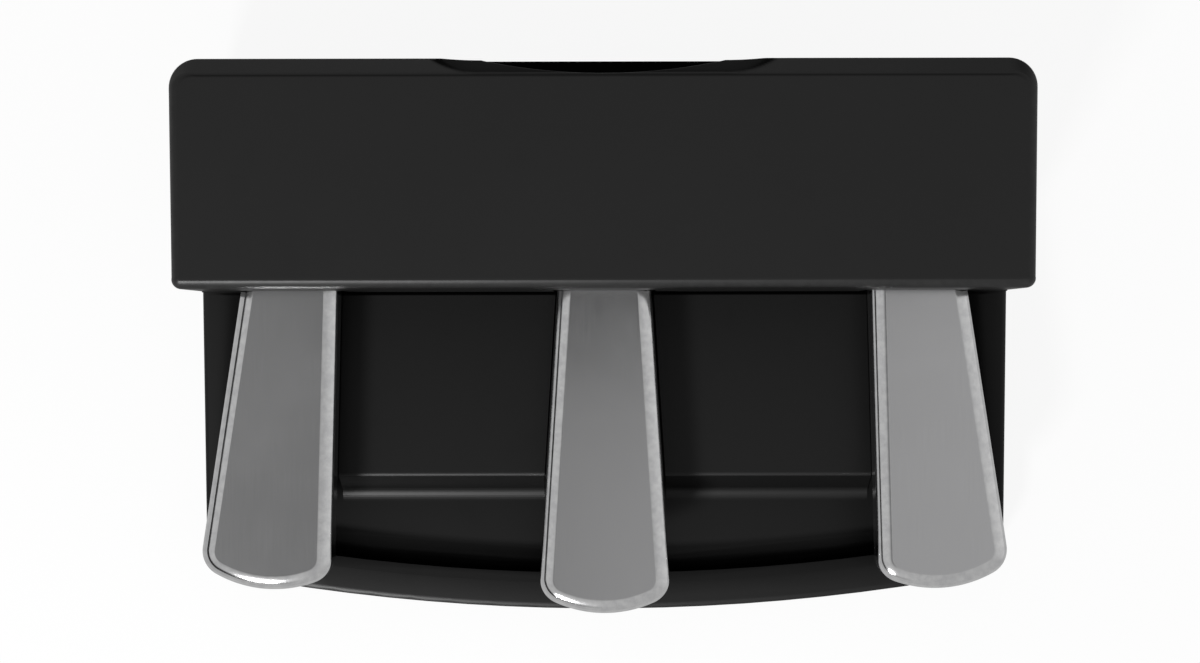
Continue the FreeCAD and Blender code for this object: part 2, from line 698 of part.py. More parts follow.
def make_upper_housing():
    body = new_body("upper_housing")
    rise = housing_rear_height - housing_front_height
    upper_edge = (housing_front_height + housing_rear_height + square_root(rise * rise)) / 2
    lower_edge = (housing_front_height + housing_rear_height - square_root(rise * rise)) / 2
    over = upper_edge + cut_over
    lean = tangent(housing_draft)
    behind = rear_y + plan_corner
    top_rear_y = rear_y - (housing_rear_height - parting_height) * lean
    bevel_y = top_rear_y - rear_bevel
    bevel_end = housing_top_at(bevel_y) - rear_bevel_drop

    # Profile with the sloping top and a bevel along the rear, then the draft of the sides
    sketch = new_sketch(body, "YZ_Plane")
    points = [(housing_front_y, parting_height), (rear_y, parting_height)]
    points += [(rear_y - (bevel_end - parting_height) * lean, bevel_end)]
    points += [(bevel_y, housing_top_at(bevel_y))]
    points += [(housing_front_y, housing_front_height)]
    outline(sketch, points)
    pad(body, sketch, width, middle=True)
    sketch = new_sketch(body, "XZ_Plane")
    for side in (-1, 1):
        near_x, far_x = half_width * side, (half_width + cut_over) * side
        top_x = (half_width - (over - parting_height) * lean) * side
        outline(sketch, [(near_x, parting_height), (far_x, parting_height), (far_x, over), (top_x, over)])
    pocket(body, sketch, depth + cut_over * 2, middle=True)
    dress(body, "Fillet",
          lambda edge, middle: upright(edge) and middle.y > bevel_y.number,
          Radius=plan_corner)
    dress(body, "Fillet",
          lambda edge, middle: upright(edge) and middle.y < bevel_y.number,
          Radius=housing_front_corner)
    dress(body, "Fillet",
          lambda edge, middle: middle.z > bevel_end.number - 0.5 and not upright(edge),
          Radius=housing_top_edge)

    # Cavity, its ceiling stepped to follow the sloping top
    inner_half = half_width - housing_wall
    ceiling = lower_edge - housing_wall
    sketch = new_sketch(body, "XY_Plane", parting_height)
    front_wall, rear_wall = housing_front_y + housing_wall, rear_y - housing_wall
    outline(sketch, rounded_bay(inner_half, front_wall, rear_wall, plan_corner - housing_wall))
    pocket(body, sketch, ceiling - parting_height, reverse=True)
    sketch = new_sketch(body, "YZ_Plane")
    step_rear = rear_y - plan_corner
    step_front = housing_front_y + housing_wall * 2
    points = [(step_front, ceiling - cut_over), (step_rear, ceiling - cut_over)]
    points += [(step_rear, housing_top_at(step_rear) - housing_wall)]
    points += [(step_front, housing_top_at(step_front) - housing_wall)]
    outline(sketch, points)
    pocket(body, sketch, (inner_half - plan_corner) * 2, middle=True)

    # Posts for the long screws
    for name, x, y in screw_spots():
        sketch = new_sketch(body, "XY_Plane", parting_height)
        square(sketch, x, y, screw_post)
        pad(body, sketch, housing_top_at(y) - housing_wall / 2 - parting_height)
    sketch = new_sketch(body, "XY_Plane", parting_height)
    for name, x, y in screw_spots():
        circle(sketch, x, y, screw_radius + thread_gap)
    pocket(body, sketch, foot_height + screw_length + cut_over - parting_height, reverse=True)

    # Slots in the front wall for the pedals
    for spot in spots:
        forward = (spot.y - housing_front_y - housing_wall / 2) / cosine(spot.turn)
        half = blade_half_at(forward) + slot_gap + housing_wall * sine(splay)
        middle_x = spot.point(as_value(0), forward)[0]
        sketch = new_sketch(body, "XY_Plane", parting_height - cut_over)
        rectangle(sketch, middle_x - half, middle_x + half,
                  housing_front_y - cut_over, housing_front_y + housing_wall + cut_over)
        pocket(body, sketch, blade_top + slot_gap - parting_height + cut_over, reverse=True)

    # Finger scoop in the rear top edge, with a thickened wall behind it
    half = scoop_length / 2
    scoop_bottom = housing_rear_height - scoop_lens_depth
    front = top_rear_y - scoop_reach
    behind_scoop = front - housing_wall * 1.5
    sketch = new_sketch(body, "XY_Plane", scoop_bottom - housing_wall)
    rectangle(sketch, -half - housing_wall, half + housing_wall, behind_scoop, rear_y - housing_wall)
    pad(body, sketch, housing_top_at(behind_scoop) - cut_over - scoop_bottom + housing_wall)
    sketch = new_sketch(body, "XY_Plane", housing_rear_height)
    side_rise = scoop_corner - scoop_reach
    corner_run = square_root(scoop_corner * scoop_corner - side_rise * side_rise)
    points = [(-half + corner_run, front), (half - corner_run, front, scoop_corner)]
    points += [(half, top_rear_y), (half, behind), (-half, behind), (-half, top_rear_y, scoop_corner)]
    outline(sketch, points)
    pocket(body, sketch, scoop_fall, taper=-scoop_slope)
    sketch = new_sketch(body, "XY_Plane", housing_rear_height + cut_over)
    chord = scoop_lens_chord / 2
    bow = (chord * chord + scoop_lens_reach * scoop_lens_reach) / (scoop_lens_reach * 2)
    points = [(-chord, top_rear_y, bow), (chord, top_rear_y)]
    points += [(chord, rear_y + cut_over), (-chord, rear_y + cut_over)]
    outline(sketch, points)
    pocket(body, sketch, scoop_lens_depth + cut_over)

    # Seat of the cable gland in a thickened part of the rear wall
    sketch = new_sketch(body, "XY_Plane", gland_height - gland_flange_half - housing_wall)
    seat_half = gland_flange_half + housing_wall
    rectangle(sketch, -seat_half, seat_half, rear_y - gland_wall, rear_y - housing_wall)
    pad(body, sketch, seat_half * 2)
    for half, reach in ((gland_half, gland_wall), (gland_flange_half, gland_seat)):
        sketch = new_sketch(body, "XZ_Plane", -rear_y - cut_over)
        square(sketch, as_value(0), gland_height, half + fit_gap)
        pocket(body, sketch, reach + cut_over, reverse=True)
    return body


def make_cable_gland():
    """Square rubber gland: a flange in the seat, a neck through the wall and a catch behind it."""
    body = new_body("cable_gland")
    flange_top = gland_height + gland_flange_half
    face = rear_y - (flange_top - parting_height) * tangent(housing_draft) - fit_gap
    seat_y = rear_y - gland_seat
    catch_y = rear_y - gland_wall - fit_gap
    for half, back, front in ((gland_flange_half, face, seat_y), (gland_half, seat_y, catch_y),
                              (gland_catch_half, catch_y, catch_y - gland_catch)):
        sketch = new_sketch(body, "XZ_Plane", -back)
        square(sketch, as_value(0), gland_height, half)
        pad(body, sketch, back - front)
    sketch = new_sketch(body, "XZ_Plane", -rear_y)
    circle(sketch, 0, gland_height, gland_bore)
    pocket(body, sketch, gland_wall + gland_catch + cut_over, reverse=True)


def lug_outlines(sketch, rim):
    """The two lugs under the blade, or what they need where they pass the arm."""
    half = lug_half + rim
    for forward in (lug_front, lug_rear):
        rectangle(sketch, -half, half, -forward - lug_depth / 2 - rim, -forward + lug_depth / 2 + rim)


def make_blade(spot):
    """Cast blade with a turned-down edge, hollow and ribbed, its lugs headed over under the arm."""
    body = new_body("pedal_" + spot.name)
    bottom = blade_top - blade_edge_height
    half, forward_end = nose_corner(as_value(0))
    sketch = new_sketch(body, "XY_Plane", bottom)
    points = [(-half, -forward_end, blade_nose), (half, -forward_end)]
    points += [(blade_rear_half, -blade_rear), (-blade_rear_half, -blade_rear)]
    outline(sketch, points)
    pad(body, sketch, blade_edge_height)
    dress(body, "Fillet",
          lambda edge, middle: upright(edge) and near(middle.y, -forward_end),
          Radius=blade_corner)
    dress(body, "Chamfer",
          lambda edge, middle: level(edge, blade_top) and middle.y < -blade_rear.number - 0.5,
          ChamferType="Two distances", Size=blade_bevel_drop, Size2=blade_bevel_width)
    shoulder = blade_top - blade_bevel_drop
    dress(body, "Chamfer",
          lambda edge, middle: level(edge, shoulder) and middle.y < -blade_rear.number - 0.5,
          Size=blade_edge_break)
    inner_half, inner_end = nose_corner(blade_wall)
    open_rear = blade_rear - 1
    sketch = new_sketch(body, "XY_Plane", bottom)
    points = [(-inner_half, -inner_end, blade_nose - blade_wall), (inner_half, -inner_end)]
    points += [(blade_rear_half - blade_wall, -open_rear), (-blade_rear_half + blade_wall, -open_rear)]
    outline(sketch, points)
    pocket(body, sketch, blade_edge_height - blade_skin, reverse=True)
    sketch = new_sketch(body, "XY_Plane", bottom + blade_rib)
    for forward in (blade_rib_rear, blade_rib_front):
        rib_half = blade_half_at(forward) - blade_wall / 2
        rectangle(sketch, -rib_half, rib_half, -forward - blade_rib, -forward)
    pad(body, sketch, blade_edge_height - blade_skin - blade_rib + join)
    head_low = arm_bottom - lug_head
    for rim, low, high in ((as_value(0), head_low, arm_top + join),
                           (lug_head_rim, head_low, arm_bottom)):
        sketch = new_sketch(body, "XY_Plane", low)
        lug_outlines(sketch, rim)
        pad(body, sketch, high - low)
    place(body, spot.x, spot.y, 0, spot.turn)


def make_arm(spot):
    """Moulded lever under the blade, with the pivot boss at its rear end."""
    body = new_body("arm_" + spot.name)
    sketch = new_sketch(body, "YZ_Plane")
    lead = arm_thickness / 2
    heel = pivot_height - boss_radius * 0.7
    points = [(-arm_front, arm_top), (-arm_front, arm_top - lead), (-arm_front + lead, arm_bottom)]
    points += [(-boss_radius - lead, arm_bottom), (-boss_radius / 2, heel), (0, heel), (0, arm_top)]
    outline(sketch, points)
    pad(body, sketch, arm_width, middle=True)
    sketch = new_sketch(body, "YZ_Plane")
    circle(sketch, 0, pivot_height, boss_radius)
    pad(body, sketch, boss_width, middle=True)
    sketch = new_sketch(body, "YZ_Plane")
    circle(sketch, 0, pivot_height, bush_radius)
    pocket(body, sketch, boss_width + cut_over * 2, middle=True)
    sketch = new_sketch(body, "XY_Plane", arm_bottom)
    lug_outlines(sketch, as_value(0))
    pocket(body, sketch, arm_thickness + cut_over, reverse=True)
    sketch = new_sketch(body, "XY_Plane", arm_bottom - spigot_length)
    square(sketch, as_value(0), -spring_place, spigot_half)
    pad(body, sketch, spigot_length + join)
    place(body, spot.x, spot.y, 0, spot.turn)


def make_bush(spot):
    """Sleeve pressed through the arm's boss, a little short of the bracket's cheeks."""
    body = new_body("bush_" + spot.name)
    half = bracket_inner_half - bush_side_gap
    sketch = new_sketch(body, "YZ_Plane")
    circle(sketch, 0, 0, bush_radius)
    circle(sketch, 0, 0, pin_radius + running_fit)
    pad(body, sketch, half * 2, middle=True)
    place(body, spot.x, spot.y, pivot_height, spot.turn)


def make_pin(spot):
    """Headed pivot pin, pressed into the cheeks of the bracket."""
    body = new_body("pin_" + spot.name)
    outer = bracket_inner_half + bracket_sheet
    sketch = new_sketch(body, "XZ_Plane")
    points = [(-outer - pin_head, 0), (outer + pin_tail, 0), (outer + pin_tail, pin_radius)]
    points += [(-outer, pin_radius), (-outer, pin_head_radius), (-outer - pin_head, pin_head_radius)]
    outline(sketch, points)
    turn_profile(body, sketch, "H_Axis")
    place(body, spot.x, spot.y, pivot_height, spot.turn)


def make_bracket(spot):
    """Folded sheet bracket over the arm, with a flange on each side."""
    body = new_body("bracket_" + spot.name)
    inner = bracket_inner_half
    outer = inner + bracket_sheet
    reach = outer + bracket_flange
    flange_top = floor_height + bracket_sheet
    roof = bracket_top - bracket_sheet
    sketch = new_sketch(body, "XZ_Plane", -bracket_rear)
    points = [(-reach, floor_height), (-inner, floor_height), (-inner, roof), (inner, roof)]
    points += [(inner, floor_height), (reach, floor_height), (reach, flange_top), (outer, flange_top)]
    points += [(outer, bracket_top), (-outer, bracket_top), (-outer, flange_top), (-reach, flange_top)]
    outline(sketch, points)
    pad(body, sketch, bracket_front + bracket_rear)
    dress(body, "Fillet",
          lambda edge, middle: (near(abs(middle.x), outer) and near(middle.z, bracket_top))
          or (near(abs(middle.x), inner) and near(middle.z, floor_height)),
          Radius=bracket_bend + bracket_sheet)
    dress(body, "Fillet",
          lambda edge, middle: (near(abs(middle.x), inner) and near(middle.z, roof))
          or (near(abs(middle.x), outer) and near(middle.z, flange_top)),
          Radius=bracket_bend)
    sketch = new_sketch(body, "YZ_Plane")
    circle(sketch, 0, pivot_height, pin_radius + pin_fit)
    pocket(body, sketch, (reach + cut_over) * 2, middle=True)
    sketch = new_sketch(body, "XY_Plane", floor_height)
    for across, forward in stake_places():
        square(sketch, across, -forward, stake_half + fit_gap)
    pocket(body, sketch, bracket_sheet, reverse=True)
    place(body, spot.x, spot.y, 0, spot.turn)


def make_spring(spot):
    """Return spring between the floor's seat and the arm, its wire a hexagon to keep it light."""
    wire = spring_wire.number
    turns = spring_turns.number
    low = spring_seat.number + wire
    high = arm_bottom.number - wire
    runs = round(turns * spring_runs.number)
    path = []
    for step in range(runs + 1):
        angle = 2 * math.pi * turns * step / runs
        x, y = spring_radius.number * math.cos(angle), spring_radius.number * math.sin(angle)
        path.append(FreeCAD.Vector(x, y, (high - low) * step / runs))
    corners = []
    for corner in range(7):
        angle = math.radians(60 * corner)
        across = spring_radius.number + wire * math.cos(angle)
        corners.append(FreeCAD.Vector(across, 0, wire * math.sin(angle)))
    section = Part.makePolygon(corners)
    spring = doc.addObject("Part::Feature", "Spring")
    spring.Label = "spring_" + spot.name
    spring.Shape = Part.makePolygon(path).makePipeShell([section], True, True, 1)
    x, y = spot.point(as_value(0), spring_place)
    place(spring, x, y, low, spot.turn)
    pieces.append(spring)


def make_felt(spot):
    """Felt under the bracket's roof that the arm rests against."""
    felt = doc.addObject("Part::Box", "Felt")
    felt.Label = "rest_felt_" + spot.name
    bind(felt, "Length", felt_half * 2)
    bind(felt, "Width", felt_length)
    bind(felt, "Height", bracket_top - bracket_sheet - arm_top - stop_gap)
    x, y = spot.point(-felt_half, felt_front)
    place(felt, x, y, arm_top + stop_gap, spot.turn)
    pieces.append(felt)


def make_stop_pad(spot):
    """Rubber pad that ends the pedal's travel."""
    stop = doc.addObject("Part::Box", "Stop")
    stop.Label = "stop_pad_" + spot.name
    bind(stop, "Length", stop_half * 2)
    bind(stop, "Width", stop_half * 2)
    bind(stop, "Height", stop_thickness)
    x, y = spot.point(-stop_half, stop_place + stop_half)
    place(stop, x, y, arm_height_at(stop_place + stop_half) - stop_gap - stop_thickness, spot.turn)
    pieces.append(stop)


def make_sensor(spot):
    """Small board on its ribs, the sensor on it and the plunger that follows the arm."""
    board = new_body("sensor_board_" + spot.name)
    sketch = new_sketch(board, "XY_Plane", board_height)
    rectangle(sketch, -board_half, board_half, -board_front, -board_rear)
    pad(board, sketch, board_thickness)
    place(board, spot.x, spot.y, 0, spot.turn)

    body = new_body("sensor_" + spot.name)
    base = board_height + board_thickness
    sketch = new_sketch(body, "XY_Plane", base)
    rectangle(sketch, -sensor_half, sensor_half, -sensor_half, sensor_half)
    pad(body, sketch, sensor_height)
    sketch = new_sketch(body, "XY_Plane", base + sensor_height)
    square(sketch, as_value(0), as_value(0), plunger_half + running_fit)
    pocket(body, sketch, sensor_height - board_thickness)
    x, y = spot.point(as_value(0), sensor_place)
    place(body, x, y, 0, spot.turn)

    plunger = new_body("plunger_" + spot.name)
    top = arm_bottom - plunger_gap
    bottom, shoulder = top - plunger_length, top - plunger_tip_height
    sketch = new_sketch(plunger, "YZ_Plane")
    points = [(-plunger_half, bottom), (plunger_half, bottom), (plunger_half, shoulder)]
    points += [(plunger_tip, top), (-plunger_tip, top), (-plunger_half, shoulder)]
    outline(sketch, points)
    pad(plunger, sketch, plunger_half * 2, middle=True)
    place(plunger, x, y, 0, spot.turn)


def make_ballast_plate():
    body = new_body("ballast_plate")
    sketch = new_sketch(body, "XY_Plane", foot_height)
    outline(sketch, bowed_outline(base_wall + plate_gap))
    pad(body, sketch, plate_thickness)
    sketch = new_sketch(body, "XY_Plane", foot_height)
    for name, x, y in screw_spots():
        circle(sketch, x, y, screw_radius + screw_gap)
    pocket(body, sketch, plate_thickness, reverse=True)


def make_feet():
    back, front = rear_y - foot_rear_inset, front_y + foot_front_inset
    places = [("front_left", -foot_x, front), ("front_right", foot_x, front)]
    places += [("rear_left", -foot_x, back), ("rear_right", foot_x, back)]
    for name, x, y in places:
        body = new_body("foot_" + name)
        sketch = new_sketch(body, "XY_Plane")
        rectangle(sketch, -foot_length / 2, foot_length / 2, -foot_width / 2, foot_width / 2)
        pad(body, sketch, foot_height)
        dress(body, "Chamfer", lambda edge, middle: level(edge, 0), Size=foot_chamfer)
        place(body, x, y, 0)


def make_screws():
    for name, x, y in screw_spots():
        body = new_body("screw_" + name)
        sketch = new_sketch(body, "XZ_Plane")
        points = [(0, -screw_head), (screw_head_radius, -screw_head), (screw_head_radius, 0)]
        points += [(screw_radius, 0), (screw_radius, screw_length), (0, screw_length)]
        outline(sketch, points)
        turn_profile(body, sketch, "V_Axis")
        place(body, x, y, foot_height)


make_base_tray()
make_upper_housing()
make_cable_gland()
make_ballast_plate()
make_feet()
make_screws()
for spot in spots:
    make_blade(spot)
    make_arm(spot)
    make_bush(spot)
    make_pin(spot)
    make_bracket(spot)
    make_spring(spot)
    make_felt(spot)
    make_stop_pad(spot)
    make_sensor(spot)
doc.recompute()

for item in doc.Objects:
    if "Invalid" in item.State or "Error" in item.State:
        raise RuntimeError(f"{item.Label} did not build: {item.State}")
for piece in pieces:
    if piece.Shape.isNull() or not piece.Shape.isValid():
        raise RuntimeError(f"{piece.Label} is not a valid solid")

os.makedirs("parts", exist_ok=True)
for piece in pieces:
    piece.Shape.exportStep(f"parts/{piece.Label}.step")
print(len(pieces), "pieces")
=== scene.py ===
import json
import math
import bmesh
import bpy
import numpy as np
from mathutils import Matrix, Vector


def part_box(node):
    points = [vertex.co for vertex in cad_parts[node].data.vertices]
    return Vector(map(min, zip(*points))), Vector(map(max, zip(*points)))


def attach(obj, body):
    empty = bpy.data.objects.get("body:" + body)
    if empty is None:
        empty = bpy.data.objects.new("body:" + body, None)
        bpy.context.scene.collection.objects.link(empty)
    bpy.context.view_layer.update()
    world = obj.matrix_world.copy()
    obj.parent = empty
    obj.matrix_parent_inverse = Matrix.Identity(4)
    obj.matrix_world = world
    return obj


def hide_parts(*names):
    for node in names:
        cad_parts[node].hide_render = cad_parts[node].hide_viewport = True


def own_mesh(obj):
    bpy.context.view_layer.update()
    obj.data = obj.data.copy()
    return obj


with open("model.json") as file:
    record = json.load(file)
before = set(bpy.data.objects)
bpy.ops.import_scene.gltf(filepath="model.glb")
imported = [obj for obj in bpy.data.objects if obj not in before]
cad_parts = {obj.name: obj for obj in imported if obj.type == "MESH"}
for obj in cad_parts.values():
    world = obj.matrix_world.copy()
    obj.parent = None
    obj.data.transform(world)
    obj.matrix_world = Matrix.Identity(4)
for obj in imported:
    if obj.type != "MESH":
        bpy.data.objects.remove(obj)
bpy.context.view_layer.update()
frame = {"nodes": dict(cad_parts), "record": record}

# Sizes are in millimetres and degrees, as the part has them, and MM brings them to metres
MM = 0.001
SIDES = ("left", "centre", "right")
PIVOT = {"left": (-90.5, 69.0, -5.0), "centre": (0.0, 62.0, 0.0), "right": (90.5, 69.0, 5.0)}
BLADE = {"rear": 38.0, "rear_half": 13.8, "front_half": 20.0, "flare": 0.0627, "reach": 143.0,
         "nose": 36.0, "corner": 8.0, "top": 40.0, "bottom": 30.0, "wall": 2.5, "skin": 3.0,
         "rim_across": 6.9, "rim_down": 3.45, "rim_start": 23.0}
FRONT, REAR, HALF, PARTING = 16.6, 83.0, 125.0, 22.0


# Shapes: each is a grid of points, rows by columns, worked out as whole arrays

def carry(points, side):
    """Turn points about the upright axis by a pedal's splay, then shift them to its pivot."""
    x0, y0, turn = PIVOT[side]
    angle = math.radians(turn)
    x = points[..., 0] * math.cos(angle) - points[..., 1] * math.sin(angle) + x0
    y = points[..., 0] * math.sin(angle) + points[..., 1] * math.cos(angle) + y0
    return np.stack([x, y, points[..., 2]], axis=-1)


def seal(name, mesh, material, sharp=35):
    """Merge doubled points, turn the faces outward and shade smoothly up to a crease angle."""
    shell = bmesh.new()
    shell.from_mesh(mesh)
    bmesh.ops.remove_doubles(shell, verts=shell.verts, dist=2e-6)
    bmesh.ops.dissolve_degenerate(shell, edges=shell.edges, dist=1e-7)
    bmesh.ops.recalc_face_normals(shell, faces=shell.faces)
    shell.to_mesh(mesh)
    shell.free()
    mesh.shade_smooth()
    mesh.set_sharp_from_angle(angle=math.radians(sharp))
    mesh.materials.clear()
    mesh.materials.append(material)
    piece = bpy.data.objects.new(name, mesh)
    bpy.context.scene.collection.objects.link(piece)
    return piece


def skin(name, grid, material, rim=None, hollow=None, ends="cap", sharp=35):
    """Closed surface over a grid whose columns close on themselves.

    Each cell of the grid is one four-sided face. The first and last rows are closed by a flat
    face each, or joined to one another where ends is "ring". rim is a mask of wear per point, and
    the next mask is painted shade in a recess.
    """
    rows, columns = grid.shape[:2]
    index = np.arange(rows * columns).reshape(rows, columns)
    upper = index if ends == "ring" else index[:-1]
    lower = np.roll(index, -1, axis=0) if ends == "ring" else index[1:]
    quads = np.stack([upper, np.roll(upper, -1, 1), np.roll(lower, -1, 1), lower], axis=-1)
    faces = quads.reshape(-1, 4).tolist()
    if ends == "cap":
        faces += [index[0][::-1].tolist(), index[-1].tolist()]
    mesh = bpy.data.meshes.new(name)
    mesh.from_pydata(grid.reshape(-1, 3) * MM, [], faces)
    for label, given in (("rim", rim), ("hollow", hollow)):
        mask = mesh.attributes.new(label, "FLOAT", "POINT")
        values = np.broadcast_to(0.0 if given is None else given, (rows, columns)).ravel()
        mask.data.foreach_set("value", values.astype(np.float32))
    return seal(name, mesh, material, sharp)


def even(piece):
    """Let large faces set the shading near small ones, and keep the creases."""
    weighted = piece.modifiers.new("even", "WEIGHTED_NORMAL")
    weighted.keep_sharp = True
    weighted.weight = 100
    return piece


def join(name, pieces):
    """Put several closed shells into one piece."""
    shell = bmesh.new()
    for piece in pieces:
        shell.from_mesh(piece.data)
    mesh = pieces[0].data.copy()
    shell.to_mesh(mesh)
    shell.free()
    for piece in pieces:
        bpy.data.objects.remove(piece)
    mesh.set_sharp_from_angle(angle=math.radians(35))
    whole = bpy.data.objects.new(name, mesh)
    bpy.context.scene.collection.objects.link(whole)
    return whole


def soft_block(name, low, high, radius, material, side=None, steps=5, rim=0.4):
    """Block with rounded edges: an eighth of a ball of one radius stands at each corner.

    The angles run over the ball, and each point is pushed out to its own corner.
    """
    low, high = np.array(low, float), np.array(high, float)
    half, middle = (high - low) / 2, (high + low) / 2
    quarter = np.linspace(0, np.pi / 2, steps + 1)
    turn = np.concatenate([quarter + k * np.pi / 2 for k in range(4)])
    signs_x = np.repeat([1, -1, -1, 1], steps + 1)
    signs_y = np.repeat([1, 1, -1, -1], steps + 1)
    tilt = np.concatenate([quarter - np.pi / 2, quarter])[:, None]
    signs_z = np.repeat([-1, 1], steps + 1)[:, None]
    x = signs_x * (half[0] - radius) + radius * np.cos(tilt) * np.cos(turn)
    y = signs_y * (half[1] - radius) + radius * np.cos(tilt) * np.sin(turn)
    z = signs_z * (half[2] - radius) + radius * np.sin(tilt) + 0 * turn
    grid = np.stack([x, y, z], axis=-1) + middle
    if side:
        grid = carry(grid, side)
    return skin(name, grid, material, rim)


def tube(path, radius, sides=12):
    """Round wire along a path: a circle in the plane of each point's normal and binormal."""
    ahead = np.gradient(path, axis=0)
    ahead /= np.linalg.norm(ahead, axis=1, keepdims=True)
    out = path * np.array([1.0, 1.0, 0.0])
    out -= ahead * np.sum(out * ahead, axis=1, keepdims=True)
    out /= np.linalg.norm(out, axis=1, keepdims=True)
    up = np.cross(ahead, out)
    angle = np.linspace(0, 2 * np.pi, sides, endpoint=False)[None, :, None]
    return path[:, None] + radius * (np.cos(angle) * out[:, None] + np.sin(angle) * up[:, None])


# Nodes: shared effects are node groups that put out values, shaders stay in the materials

def add(tree, kind, inputs=None, **settings):
    """Place a node, set its own settings and link or set its inputs by name or number."""
    node = tree.nodes.new("ShaderNode" + kind)
    for name, value in settings.items():
        setattr(node, name, value)
    for name, value in (inputs or {}).items():
        if isinstance(value, bpy.types.NodeSocket):
            tree.links.new(value, node.inputs[name])
        else:
            node.inputs[name].default_value = value
    return node


def math_node(tree, operation, *values, clamp=False):
    """Arithmetic on sockets or numbers."""
    inputs = dict(enumerate(values))
    return add(tree, "Math", inputs, operation=operation, use_clamp=clamp).outputs[0]


def remap(tree, value, start, end, low=0.0, high=1.0, curve="LINEAR"):
    """Turn the range from start to end into the range from low to high, and hold it at both ends."""
    inputs = {"Value": value, "From Min": start, "From Max": end, "To Min": low, "To Max": high}
    return add(tree, "MapRange", inputs, interpolation_type=curve).outputs["Result"]


def two_tone(tree, factor, first, second):
    """Blend of two colours, either of them a colour or a socket, by a mask.

    A Mix node has sockets of the same names for other types, so the enabled ones are picked.
    """
    node = add(tree, "Mix", data_type="RGBA")
    for name, value in (("Factor", factor), ("A", first), ("B", second)):
        target = [item for item in node.inputs if item.name == name and item.enabled][0]
        if isinstance(value, bpy.types.NodeSocket):
            tree.links.new(value, target)
        else:
            target.default_value = value
    return [item for item in node.outputs if item.name == "Result" and item.enabled][0]


def object_place(tree):
    """Object coordinates, in metres."""
    return add(tree, "TexCoord").outputs["Object"]


def mask_of(tree, label):
    """A mask that the piece carries on its points."""
    return add(tree, "Attribute", attribute_name=label, attribute_type="GEOMETRY").outputs["Fac"]


def new_group(name, inputs, outputs):
    """Node group with its named number inputs and outputs."""
    tree = bpy.data.node_groups.new(name, "ShaderNodeTree")
    for label, value in inputs.items():
        socket = tree.interface.new_socket(label, in_out="INPUT", socket_type="NodeSocketFloat")
        socket.default_value = value
    for label in outputs:
        tree.interface.new_socket(label, in_out="OUTPUT", socket_type="NodeSocketFloat")
    return tree, tree.nodes.new("NodeGroupInput").outputs, tree.nodes.new("NodeGroupOutput").inputs


def use(tree, group, **values):
    """Place a group in a material with its own values."""
    node = tree.nodes.new("ShaderNodeGroup")
    node.node_tree = group
    for name, value in values.items():
        node.inputs[name].default_value = value
    return node.outputs


def moulded_grain():
    """Fine spark-eroded texture of a moulding, with a slow drift in tone and a few rubbed places."""
    tree, given, result = new_group("moulded_grain", {"Scale": 2200, "Drift": 14},
                                    ("Height", "Tone", "Rub"))
    place = object_place(tree)
    pits = add(tree, "TexVoronoi", {"Vector": place, "Scale": given["Scale"]}, feature="SMOOTH_F1")
    fine = add(tree, "TexNoise", {"Vector": place, "Scale": given["Scale"], "Detail": 3})
    drift = add(tree, "TexNoise", {"Vector": place, "Scale": given["Drift"], "Detail": 4})
    rub = add(tree, "TexNoise", {"Vector": place, "Scale": 55, "Detail": 6, "Roughness": 0.65})
    height = math_node(tree, "MULTIPLY", pits.outputs["Distance"], fine.outputs["Fac"])
    tree.links.new(height, result["Height"])
    tree.links.new(drift.outputs["Fac"], result["Tone"])
    tree.links.new(remap(tree, rub.outputs["Fac"], 0.55, 0.8), result["Rub"])
    return tree


def drawn_lines():
    """Lines of a satin finish along one direction of the metal, long and thin, with soft smears."""
    tree, given, result = new_group("drawn_lines", {"Across": 3200, "Along": 60},
                                    ("Lines", "Smear"))
    place = object_place(tree)
    stretch = add(tree, "CombineXYZ", {"X": given["Across"], "Y": given["Along"],
                                       "Z": given["Across"]}).outputs[0]
    drawn = add(tree, "VectorMath", {0: place, 1: stretch}, operation="MULTIPLY").outputs[0]
    lines = add(tree, "TexNoise", {"Vector": drawn, "Scale": 1.0, "Detail": 5, "Roughness": 0.7})
    smear = add(tree, "TexNoise", {"Vector": place, "Scale": 28, "Detail": 5, "Distortion": 0.6})
    tree.links.new(lines.outputs["Fac"], result["Lines"])
    tree.links.new(smear.outputs["Fac"], result["Smear"])
    return tree


def worn_rim():
    """Mask of handled edges: the piece's own rim value broken up by noise."""
    tree, given, result = new_group("worn_rim", {"Amount": 1.0, "Scale": 420}, ("Mask",))
    noise = add(tree, "TexNoise", {"Vector": object_place(tree), "Scale": given["Scale"],
                                   "Detail": 4})
    broken = remap(tree, noise.outputs["Fac"], 0.35, 0.7)
    worn = math_node(tree, "MULTIPLY", mask_of(tree, "rim"), broken)
    tree.links.new(math_node(tree, "MULTIPLY", worn, given["Amount"], clamp=True), result["Mask"])
    return tree


GRAIN, DRAWN, WORN = moulded_grain(), drawn_lines(), worn_rim()


# Materials

def blank(name):
    """New material with its node tree and its main shader."""
    material = bpy.data.materials.new(name)
    material.use_nodes = True
    return material, material.node_tree, material.node_tree.nodes["Principled BSDF"]


def colour(level, tint=(1, 1, 1)):
    """Linear colour of a grey screen level from 0 to 255, with a slight tint."""
    value = ((level / 255 + 0.055) / 1.055) ** 2.4
    return tuple(value * t for t in tint) + (1.0,)


def relief(tree, shader, height, strength, distance):
    """Bump in metres on the shader's normal."""
    bump = add(tree, "Bump", {"Height": height, "Strength": strength, "Distance": distance})
    tree.links.new(bump.outputs["Normal"], shader.inputs["Normal"])


